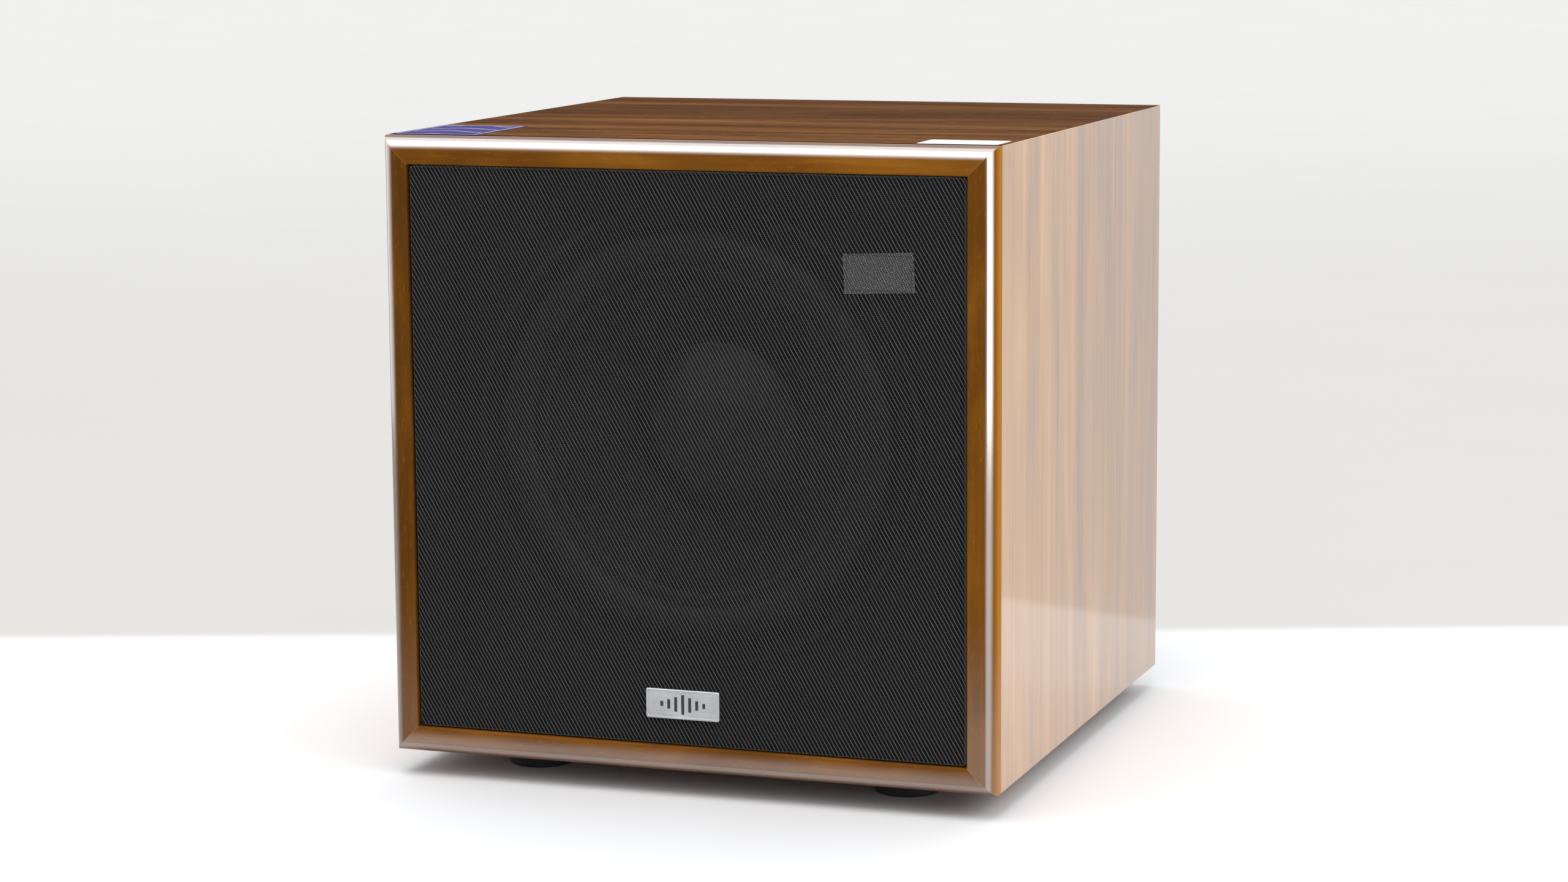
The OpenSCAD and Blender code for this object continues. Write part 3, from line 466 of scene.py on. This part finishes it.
def woven(name, dark, light, pitch, **constants):
    """A plain weave, over one and under one, in the plane of the front."""
    p = Paint(name, **constants)
    ups = p.math("SINE", p.math("MULTIPLY", p.along("X"), math.pi / pitch))
    overs = p.math("SINE", p.math("MULTIPLY", p.along("Z"), math.pi / pitch))
    weave = p.math("MULTIPLY_ADD", p.math("MULTIPLY", ups, overs), 0.5, 0.5)
    stain = p.noise(p.at(1, 1, 1), scale=70, detail=4)
    p.colour(p.ramp(p.math("ADD", p.math("MULTIPLY", weave, 0.5), p.math("MULTIPLY", stain, 0.5)),
                    (0.25, dark), (0.75, light)))
    p.roughness(p.spread(weave, 0.9, 0.7))
    p.bump(weave, 0.7, 0.0003)
    return p.material


def finishes():
    """Every finish by the name of the record's material slot."""
    plastic = dict(relief=(0.35, 0.00008), Specular_IOR_Level=0.4)
    made = {
        "veneer_top": veneer(
            "walnut_veneer_across", "X", (tone(60, 33, 12), tone(86, 52, 22), tone(106, 68, 32),
                                          tone(132, 88, 42)), (tone(196, 124, 52), 0.65), 0.6,
            (0.55, 0.75), Specular_IOR_Level=0.01),
        "veneer_side": veneer(
            "walnut_veneer_upright", "Z", (tone(150, 119, 95), tone(172, 131, 92), tone(186, 140, 94),
                                           tone(200, 156, 110)), (tone(122, 94, 80), 0.25), 0.25,
            (0.30, 0.42), joints=LEAF_JOINTS, Specular_IOR_Level=0.1,
            Coat_Roughness=0.05, Coat_IOR=1.68),
        "baffle_paint": baffle_paint(),
        "bare_wood": bare_wood(),
        "rail_top": lacquered_rail("lacquered_rail_top", "X", (0.02, 0.40, 0.87, 0.985), 1.0, 3.3, (
            tone(94, 54, 8), tone(116, 70, 13), tone(142, 90, 22))),
        "rail_bottom": lacquered_rail("lacquered_rail_bottom", "X", (0.50, 0.80, 0.90, 0.995), 0.15, 3.0, (
            tone(100, 58, 14), tone(118, 71, 17), tone(138, 87, 25))),
        "rail_left": lacquered_rail("lacquered_rail_left", "Z", (0.0, 0.12, 0.86, 0.995), 0.9, 2.0, (
            tone(84, 50, 7), tone(99, 60, 9), tone(116, 71, 13))),
        # The right rail's sideways strip takes a lighter colour as painted side light.
        "rail_right": lacquered_rail("lacquered_rail_right", "Z", (0.54, 0.80, 0.86, 0.95), 0.0, 3.0, (
            tone(90, 53, 8), tone(110, 67, 12), tone(132, 83, 18)), painted_side_light=tone(168, 108, 24)),
        "wadding": mottled("polyester_wadding", tone(205, 205, 200), tone(238, 238, 234), 240, (0.9, 1.0),
                           (0.8, 0.0015), Specular_IOR_Level=0.1, Sheen_Weight=0.4),
        "foot_rubber": mottled("moulded_rubber", tone(15, 15, 16), tone(30, 30, 31), 1400, (0.6, 0.8),
                               (0.3, 0.0001), Specular_IOR_Level=0.35),
        "screw_steel": brushed("plated_steel", tone(150, 150, 146), tone(208, 206, 200), "X"),
        "black_screw": black_screw_head(),
        "purple_label": sticker("purple_label", "corner_label", (tone(34, 20, 98), tone(56, 36, 134)),
                                tone(222, 218, 236), True),
        "white_label": sticker("white_label", "top_label", (tone(236, 236, 234), tone(222, 222, 222)),
                               tone(205, 208, 212), False),
        "inner_white": sticker("inner_white", "inner_label", (tone(252, 252, 252), tone(244, 244, 244)),
                               tone(205, 208, 212), False),
        "grille_board": mottled("dyed_fibreboard", tone(13, 13, 14), tone(28, 27, 26), 700, (0.8, 0.95),
                                (0.4, 0.0003), Specular_IOR_Level=0.2),
        "grille_fabric": knitted_cloth(),
        "badge_metal": brushed("brushed_aluminium", tone(150, 150, 151), tone(186, 186, 187), "X",
                               (0.34, 0.5)),
        "black_plastic": mottled("moulded_black_plastic", tone(22, 22, 23), tone(34, 34, 35), 1900,
                                 (0.42, 0.62), **plastic),
        "cast_basket": mottled("cast_and_painted", tone(20, 20, 21), tone(40, 40, 42), 850, (0.4, 0.65),
                               (0.5, 0.0002), Metallic=0.15),
        "foam_gasket": foam(),
        "surround_rubber": mottled("butyl_rubber", tone(18, 18, 18), tone(34, 34, 34), 1000, (0.45, 0.65),
                                   (0.2, 0.00008), Specular_IOR_Level=0.45),
        "spider_cloth": woven("resin_dipped_weave", tone(116, 70, 22), tone(190, 134, 60), 0.9 * MM),
        "zinc_steel": brushed("zinc_plated_steel", tone(150, 144, 118), tone(206, 198, 164), "Z"),
        "ferrite": mottled("sintered_ferrite", tone(34, 35, 37), tone(62, 63, 66), 1600, (0.6, 0.9),
                           (0.6, 0.0002), Specular_IOR_Level=0.4),
        "cone_paper": paper_cone(),
        "cap_plastic": mottled("pressed_cap", tone(17, 17, 18), tone(33, 33, 34), 900, (0.3, 0.45),
                               (0.2, 0.00008), Coat_Weight=0.2),
        "former_film": ringed("coil_former_film", tone(128, 70, 14), tone(206, 132, 42), 0.004, (0.2, 0.4)),
        "copper_wire": ringed("enamelled_winding", tone(120, 50, 18), tone(214, 118, 66), 0.0006,
                              (0.25, 0.45), metallic=0.9, depth=0.0003),
        "terminal_board": mottled("resin_board", tone(78, 52, 30), tone(112, 78, 46), 500, (0.5, 0.7)),
        "amp_plate": mottled("powder_coat", tone(30, 30, 32), tone(52, 52, 55), 1300, (0.42, 0.6),
                             (0.6, 0.0002), Metallic=0.1),
        "black_anodised": brushed("black_anodised", tone(22, 22, 25), tone(58, 58, 64), "Z",
                                  (0.28, 0.45), 0.7),
        "circuit_board": circuit_board(),
        "transformer_tape": ringed("wrapped_film", tone(170, 118, 20), tone(226, 178, 60), 0.006, (0.2, 0.4),
                                   axis="Z"),
        "capacitor_sleeve": mottled("shrink_sleeve", tone(14, 24, 62), tone(26, 42, 96), 300, (0.15, 0.3),
                                    Coat_Weight=0.5),
        "chip_plastic": mottled("moulded_chip", tone(20, 20, 20), tone(36, 35, 34), 1500, (0.6, 0.8)),
        "white_plastic": mottled("white_lever", tone(214, 214, 208), tone(234, 234, 230), 1500, (0.35, 0.5),
                                 **plastic),
        "red_plastic": mottled("red_rocker", tone(132, 12, 12), tone(176, 20, 18), 1200, (0.2, 0.35),
                               (0.2, 0.00005), Coat_Weight=0.4),
        "fuse_ceramic": mottled("glazed_fuse", tone(206, 204, 196), tone(232, 230, 224), 800, (0.3, 0.5)),
        "led_lens": mottled("tinted_lens", tone(24, 110, 40), tone(60, 176, 74), 700, (0.08, 0.16),
                            (0.1, 0.00003), Transmission_Weight=0.35, Coat_Weight=0.6),
        "gold_plate": brushed("gold_plate", tone(196, 150, 66), tone(240, 204, 122), "Z", (0.15, 0.3)),
        "wire_jacket": mottled("wire_jacket", tone(20, 20, 20), tone(36, 36, 36), 900, (0.45, 0.6)),
    }
    return made


FINISH = finishes()


def paint_cad_nodes():
    """Gives each carried CAD node the finish of its slot, or a closer one where the slot is too wide."""
    closer = {"trim_rail_top": FINISH["rail_top"], "trim_rail_bottom": FINISH["rail_bottom"],
              "trim_rail_left": FINISH["rail_left"], "trim_rail_right": FINISH["rail_right"],
              "inner_label": FINISH["inner_white"],
              "volume_knob": knob_plastic("volume_knob_plastic", "volume_knob"),
              "crossover_knob": knob_plastic("crossover_knob_plastic", "crossover_knob")}
    for row in frame["record"]["subparts"]:
        node = frame["nodes"][row["node"]]
        finish = closer.get(row["node"]) or FINISH[row["material_slot"]]
        node.data.materials.clear()
        node.data.materials.append(finish)


paint_cad_nodes()


# ---------------------------------------------------------------- pieces

def new_piece(name, points, faces, finish, smooth=True):
    mesh = bpy.data.meshes.new(name)
    mesh.from_pydata([tuple(p) for p in points], [], faces)
    mesh.validate()
    mesh.polygons.foreach_set("use_smooth", [smooth] * len(mesh.polygons))
    mesh.materials.append(finish)
    obj = bpy.data.objects.new(name, mesh)
    bpy.context.collection.objects.link(obj)
    return obj


def rounded_outline(half_w, half_h, radius, steps=6, sides=12):
    """Points of a rounded rectangle in order, with the straight sides divided so that cloth can bend."""
    points = []
    corners = ((1, 1, 0), (-1, 1, 90), (-1, -1, 180), (1, -1, 270))
    for k, (sx, sz, start) in enumerate(corners):
        centre = Vector((sx * (half_w - radius), sz * (half_h - radius)))
        arc = [centre + radius * Vector((math.cos(math.radians(start + 90 * i / steps)),
                                         math.sin(math.radians(start + 90 * i / steps))))
               for i in range(steps + 1)]
        points += arc
        nx, nz, nstart = corners[(k + 1) % 4]
        after = Vector((nx * (half_w - radius), nz * (half_h - radius))) + radius * Vector(
            (math.cos(math.radians(nstart)), math.sin(math.radians(nstart))))
        points += [arc[-1].lerp(after, i / sides) for i in range(1, sides)]
    return points


def lofted(rings, cap_first=False, cap_last=False):
    """Vertices and faces through rings of equal length."""
    count = len(rings[0])
    points = [p for ring in rings for p in ring]
    faces = [(r * count + i, r * count + (i + 1) % count, (r + 1) * count + (i + 1) % count,
              (r + 1) * count + i) for r in range(len(rings) - 1) for i in range(count)]
    if cap_first:
        faces.append(tuple(range(count - 1, -1, -1)))
    if cap_last:
        faces.append(tuple((len(rings) - 1) * count + i for i in range(count)))
    return points, faces


def flat_ring(centre, half_w, half_h, radius, y, steps=6, sides=12):
    return [Vector((centre.x + p.x, y, centre.z + p.y))
            for p in rounded_outline(half_w, half_h, radius, steps, sides)]


def trim_rails():
    """The four mitred mouldings, with a finely divided roundover."""
    wide, deep, big, ease = 18.9 * MM, 15.2 * MM, 11 * MM, 1.2 * MM
    # Points of the section as (depth behind the front, distance from the outside)
    section = [(deep, 0.0)]
    for k in range(23):
        a = math.radians(4 * k)
        section.append((big - big * math.sin(a), big - big * math.cos(a)))
    section.append((0.0, big))
    for k in range(7):
        a = math.radians(15 * k)
        section.append((ease - ease * math.cos(a), wide - ease + ease * math.sin(a)))
    section.append((deep, wide))

    def mitre(sx, sz):
        return [Vector((sx * (HALF_W - e), FRONT_Y + d, MIDDLE_Z + sz * (HALF_H - e))) for d, e in section]

    for name, first, last in (("top", (-1, 1), (1, 1)), ("right", (1, 1), (1, -1)),
                              ("bottom", (1, -1), (-1, -1)), ("left", (-1, -1), (-1, 1))):
        start, end = mitre(*first), mitre(*last)
        rings = [[a.lerp(b, k / 8) for a, b in zip(start, end)] for k in range(9)]
        points, faces = lofted(rings, cap_first=True, cap_last=True)
        rail = new_piece("moulding_" + name, points, faces, FINISH["rail_" + name])
        rail.data.set_sharp_from_angle(angle=math.radians(30))
        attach(rail, "cabinet")
        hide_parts("trim_rail_" + name)


def stretched_cloth():
    """The grille's cloth: one sheet over the front, round the edges and down the board's sides."""
    centre = (CLOTH_LOW + CLOTH_HIGH) / 2
    half_w = (CLOTH_HIGH.x - CLOTH_LOW.x) / 2
    half_h = (CLOTH_HIGH.z - CLOTH_LOW.z) / 2
    bend, corner = 2.6 * MM, 3.0 * MM
    inset = 0.15 * MM
    rings = [flat_ring(centre, half_w - inset, half_h - inset, corner, y)
             for y in (CLOTH_HIGH.y, (CLOTH_HIGH.y + CLOTH_LOW.y) / 2, CLOTH_LOW.y + bend)]
    for k in range(1, 7):
        a = math.radians(15 * k)
        back = bend * (1 - math.cos(a)) + inset
        rings.append(flat_ring(centre, half_w - back, half_h - back, max(corner - back, 0.5 * MM),
                               CLOTH_LOW.y + bend * (1 - math.sin(a))))
    for back in (0.012, 0.03, 0.06, 0.09, 0.12, 0.15, 0.175):
        sag = 0.25 * MM * min(back / 0.06, 1.0)
        rings.append(flat_ring(centre, half_w - back, half_h - back, 0.5 * MM, CLOTH_LOW.y + sag))
    points, faces = lofted(rings, cap_last=True)
    cloth = new_piece("stretched_cloth", points, faces, FINISH["grille_fabric"])
    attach(cloth, "grille")
    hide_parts("grille_cloth")
    return cloth


def raised_bar(points, faces, centre, half_w, half_h, y_back, y_front, ease):
    """A small block with eased front edges, added to lists of points and faces."""
    rings = [flat_ring(centre, half_w - back, half_h - back, radius, y, 3, 2)
             for back, radius, y in ((0.0, ease, y_back), (0.0, ease, y_front + ease),
                                     (ease * 0.3, ease * 0.8, y_front + ease * 0.3),
                                     (ease, ease * 0.4, y_front))]
    more, quads = lofted(rings, cap_last=True)
    start = len(points)
    points += more
    faces += [tuple(start + i for i in face) for face in quads]


def badge_pieces():
    """The metal badge: bevelled rim, sunk field and, in place of a mark, seven plain level bars."""
    centre = (BADGE_LOW + BADGE_HIGH) / 2
    half_w = (BADGE_HIGH.x - BADGE_LOW.x) / 2
    half_h = (BADGE_HIGH.z - BADGE_LOW.z) / 2
    front, back = BADGE_LOW.y, BADGE_HIGH.y
    bevel, rim, depth = 0.45 * MM, 1.3 * MM, 0.5 * MM
    rings = [flat_ring(centre, half_w, half_h, 1.2 * MM, back),
             flat_ring(centre, half_w, half_h, 1.2 * MM, front + bevel),
             flat_ring(centre, half_w - bevel * 0.35, half_h - bevel * 0.35, 1.1 * MM, front + bevel * 0.3),
             flat_ring(centre, half_w - bevel, half_h - bevel, 1.0 * MM, front),
             flat_ring(centre, half_w - rim, half_h - rim, 0.9 * MM, front),
             flat_ring(centre, half_w - rim - 0.25 * MM, half_h - rim - 0.25 * MM, 0.8 * MM, front + depth)]
    points, faces = lofted(rings, cap_first=True, cap_last=True)
    plate = new_piece("badge_plate", points, faces, FINISH["badge_metal"], smooth=False)
    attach(plate, "grille")
    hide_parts("badge")

    points, faces = [], []
    for k, height in enumerate((0.26, 0.48, 0.74, 1.0, 0.74, 0.48, 0.26)):
        place = centre + Vector(((k - 3) * 5.0 * MM, 0, 0))
        raised_bar(points, faces, place, 1.05 * MM, height * (half_h - 3.4 * MM), front + depth + 0.05 * MM,
                   front + 0.18 * MM, 0.3 * MM)
    bars = new_piece("badge_bars", points, faces, FINISH["black_plastic"], smooth=False)
    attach(bars, "grille")


def revolved(name, profile, finish, count=144):
    """A ring about the driver's axis. The profile holds (radius, depth behind the baffle's face)."""
    rings = [[Vector((AXIS.x + r * math.cos(2 * math.pi * i / count), BAFFLE_Y + depth,
                      AXIS.z + r * math.sin(2 * math.pi * i / count))) for i in range(count)]
             for r, depth in profile]
    points, faces = lofted(rings)
    return new_piece(name, points, faces, finish)


def follow_cone(piece):
    """Bakes the piece's placement into its mesh."""
    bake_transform(piece)


def surround_piece():
    """The half roll, with its lips and a bead at the cone."""
    lip, skin, rise = -5.5 * MM, 0.8 * MM, 12 * MM
    outer, inner = (ROLL_HIGH.x - ROLL_LOW.x) / 2, 107 * MM
    roll_mid, roll_half = 127.5 * MM, 14 * MM
    top = [(outer, lip), (outer, lip - skin), (roll_mid + roll_half + 0.8 * MM, lip - skin)]
    for k in range(0, 19):
        a = math.pi * k / 18
        top.append((roll_mid + roll_half * math.cos(a), lip - skin - rise * math.sin(a) * 0.985))
    top += [(113.0 * MM, lip - skin), (112.2 * MM, lip - skin - 0.25 * MM), (111.2 * MM, lip - skin),
            (inner, lip - skin), (inner, lip)]
    bottom = [(roll_mid - (roll_half - skin) * math.cos(math.pi * k / 18),
               lip - (rise - skin) * math.sin(math.pi * k / 18)) for k in range(0, 19)]
    ring = revolved("surround_roll", top + bottom + [(outer, lip)], FINISH["surround_rubber"])
    follow_cone(ring)
    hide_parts("surround")


def spider_piece():
    """The corrugated disc with a woven surface."""
    low, high, mid = 32.5 * MM, 89.5 * MM, 71.6 * MM
    thick = 0.35 * MM
    waves = []
    for k in range(0, 97):
        t = k / 96
        fade = min(1.0, min(t, 1 - t) * 8)
        waves.append((low + (high - low) * t, mid - 2.0 * MM * fade * math.sin(t * 8 * math.pi)))
    front = [(r, d - thick) for r, d in waves]
    back = [(r, d + thick) for r, d in reversed(waves)]
    disc = revolved("spider_disc", front + back + [front[0]], FINISH["spider_cloth"], 96)
    follow_cone(disc)
    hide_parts("spider")


def islands(obj):
    """Boxes of the separate solids in a node's mesh."""
    bm = bmesh.new()
    bm.from_mesh(obj.data)
    bmesh.ops.remove_doubles(bm, verts=bm.verts, dist=1e-6)
    left, found = set(bm.verts), []
    while left:
        stack, group = [next(iter(left))], set()
        while stack:
            v = stack.pop()
            if v not in group:
                group.add(v)
                stack += [e.other_vert(v) for e in v.link_edges]
        left -= group
        low = Vector([min(v.co[i] for v in group) for i in range(3)])
        high = Vector([max(v.co[i] for v in group) for i in range(3)])
        found.append((low, high))
    bm.free()
    return sorted(found, key=lambda box: tuple(round(c, 4) for c in box[0]))


def wadding_pads():
    """Lumpy, thinner-edged pads inside the cabinet."""
    for number, (low, high) in enumerate(islands(frame["nodes"]["damping_wadding"])):
        bm = bmesh.new()
        bmesh.ops.create_cube(bm, size=2.0)
        bmesh.ops.subdivide_edges(bm, edges=bm.edges, cuts=15, use_grid_fill=True)
        middle, half = (low + high) / 2, (high - low) / 2
        thin = min(range(3), key=lambda i: half[i])
        for v in bm.verts:
            wide = [abs(v.co[i]) for i in range(3) if i != thin]
            edge = 1 - 0.55 * max(wide) ** 8
            place = Vector([middle[i] + v.co[i] * half[i] for i in range(3)])
            lump = 0.86 + 0.14 * noise.noise(place * 28 + Vector((number * 7.0, 0, 0)))
            swell = v.co[thin] * half[thin] * edge * lump
            pull = 0.97 + 0.02 * noise.noise(place * 12 + Vector((0, number * 5.0, 3)))
            v.co = Vector([middle[i] + (swell if i == thin else v.co[i] * half[i] * pull) for i in range(3)])
        mesh = bpy.data.meshes.new("wadding_pad_%d" % number)
        bm.to_mesh(mesh)
        bm.free()
        mesh.polygons.foreach_set("use_smooth", [True] * len(mesh.polygons))
        mesh.materials.append(FINISH["wadding"])
        pad = bpy.data.objects.new(mesh.name, mesh)
        bpy.context.collection.objects.link(pad)
        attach(pad, "cabinet")
        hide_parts("damping_wadding")


def panel_marks():
    """Printed marks on the amplifier's panel: dial ticks, end dots, switch brackets and a jack frame."""
    y = PLATE_Y + 0.06 * MM
    points, faces = [], []

    def stroke(a, b, width):
        way = (b - a).normalized()
        side = Vector((-way.z, 0, way.x)) * width / 2
        start = len(points)
        points.extend([a - side, a + side, b + side, b - side])
        faces.append((start, start + 1, start + 2, start + 3))

    def spot(place, radius):
        start = len(points)
        for k in range(12):
            a = k * math.pi / 6
            points.append(place + radius * Vector((math.cos(a), 0, math.sin(a))))
        faces.append(tuple(range(start, start + 12)))

    def outline(place, half_w, half_h, width):
        corners = [place + Vector((sx * half_w, 0, sz * half_h))
                   for sx, sz in ((1, 1), (-1, 1), (-1, -1), (1, -1))]
        for k in range(4):
            stroke(corners[k], corners[(k + 1) % 4], width)

    for node in ("volume_knob", "crossover_knob"):
        middle = centre_of(node)
        hub = Vector((middle.x, y, middle.z))
        for k in range(-10, 11):
            a = math.radians(k * 15)
            way = Vector((math.sin(a), 0, math.cos(a)))
            long = k % 5 == 0
            stroke(hub + way * 11.2 * MM, hub + way * (13.4 if long else 12.4) * MM,
                   (0.45 if long else 0.28) * MM)
        for side in (-1, 1):
            a = math.radians(150 * side)
            spot(hub + Vector((math.sin(a), 0, math.cos(a))) * 15 * MM, (0.5 if side > 0 else 0.9) * MM)
    for node in ("phase_slider", "power_mode_slider"):
        middle = centre_of("volume_knob" if node == "phase_slider" else "crossover_knob")
        outline(Vector((middle.x, y, centre_of(node).z)), 11 * MM, 6 * MM, 0.3 * MM)
    jacks = centre_of("rca_jacks")
    outline(Vector((jacks.x, y, jacks.z)), 22 * MM, 12 * MM, 0.3 * MM)
    inlet = centre_of("inlet_module")
    outline(Vector((inlet.x, y, inlet.z)), 22 * MM, 49 * MM, 0.3 * MM)
    marks = new_piece("panel_marks", points, faces, mottled(
        "printed_ink", tone(196, 196, 190), tone(224, 224, 218), 2000, (0.5, 0.7), (0.1, 0.00002)),
        smooth=False)
    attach(marks, "cabinet")


trim_rails()
stretched_cloth()
badge_pieces()
surround_piece()
spider_piece()
wadding_pads()
panel_marks()


# ---------------------------------------------------------------- setting

def table_top(view_way, camera_place):
    """A large pale floor. Beyond the table's far edge it glows as painted light standing in for a lit wall,
    dimmed near the edge as painted shade.
    """
    mesh = bpy.data.meshes.new("table_top")
    reach = 45.0
    table_depth, wall_fade = 2.95, 7.0
    mesh.from_pydata([(-reach, -reach, 0), (reach, -reach, 0), (reach, reach, 0), (-reach, reach, 0)], [],
                     [(0, 1, 2, 3)])
    obj = bpy.data.objects.new("table_top", mesh)
    bpy.context.collection.objects.link(obj)
    p = Paint("table_paint", Specular_IOR_Level=0.1)
    edge = camera_place.x * view_way.x + camera_place.y * view_way.y + table_depth
    far = p.math("ADD", p.math("MULTIPLY", p.along("X"), view_way.x),
                 p.math("MULTIPLY", p.along("Y"), view_way.y))
    beyond = p.step(far, edge - 0.02, edge + 0.02)
    p.colour(p.blend(beyond, (0.93, 0.93, 0.93, 1), (0.05, 0.05, 0.05, 1)))
    # Painted shade: the glow is dimmer just beyond the table's edge and brightens over wall_fade metres.
    glow = p.blend(p.step(far, edge, edge + wall_fade), (0.70, 0.69, 0.665, 1), (0.79, 0.79, 0.78, 1))
    p.feed(p.shader.inputs["Emission Color"], p.blend(beyond, (0, 0, 0, 1), glow))
    p.shader.inputs["Emission Strength"].default_value = 1.0
    p.roughness(p.spread(p.noise(p.at(3, 3, 3), detail=2), 0.6, 0.75))
    mesh.materials.append(p.material)


def softbox(name, place, aim, width, height, power, card=False):
    """A rectangular light. A card is seen only as a reflection, like a white board beside the set."""
    lamp = bpy.data.lights.new(name, "AREA")
    lamp.shape = "RECTANGLE"
    lamp.size, lamp.size_y = width, height
    lamp.energy = power
    obj = bpy.data.objects.new(name, lamp)
    obj.location = place
    obj.rotation_euler = (Vector(aim) - Vector(place)).to_track_quat("-Z", "Y").to_euler()
    obj.visible_camera = False
    obj.visible_diffuse = not card
    bpy.context.collection.objects.link(obj)


def studio():
    """Pale surroundings, an overhead softbox, one at the right, one behind, and cards for the lacquer."""
    world = bpy.data.worlds.new("studio")
    world.use_nodes = True
    world.node_tree.nodes["Background"].inputs[0].default_value = (0.95, 0.965, 1.0, 1)
    world.node_tree.nodes["Background"].inputs[1].default_value = 0.74
    bpy.context.scene.world = world
    softbox("overhead", (-0.42, -0.45, 2.05), (-0.42, -0.40, 0.0), 2.4, 2.2, 28)
    softbox("right_side", (1.9, -0.6, 1.3), (0.1, 0.0, 0.25), 1.6, 1.2, 14)
    softbox("rear", (0.6, 2.6, 1.5), (0.0, 0.2, 0.2), 1.6, 1.0, 14)
    softbox("top_card", (-0.30, -1.35, 1.55), (-0.2, -0.20, 0.42), 2.2, 2.7, 52, card=True)
    softbox("left_card", (-1.75, -0.25, 0.50), (-0.2, -0.25, 0.30), 1.9, 1.9, 26, card=True)
    softbox("right_card", (1.62, -0.80, 0.98), (0.0, 0.02, 0.90), 1.6, 1.95, 45, card=True)


def camera():
    """The photograph's viewpoint: slightly above and to the right, with a long lens."""
    data = bpy.data.cameras.new("camera")
    data.sensor_width = 36
    data.lens = 84.8
    obj = bpy.data.objects.new("camera", data)
    bpy.context.collection.objects.link(obj)
    turn, tilt, roll = (math.radians(a) for a in (19.595, 90 - 8.772, -0.378))
    place = Vector((0.8711, FRONT_Y - 2.2457, PANEL_LOW.z + 0.597))
    obj.matrix_world = Matrix.Translation(place) @ Matrix.Rotation(turn, 4, "Z") @ Matrix.Rotation(
        tilt, 4, "X") @ Matrix.Rotation(roll, 4, "Z")
    bpy.context.scene.camera = obj
    return place, Vector((-math.sin(turn), math.cos(turn), 0))


place, way = camera()
table_top(way, place)
studio()
bpy.context.scene.view_settings.view_transform = "Standard"
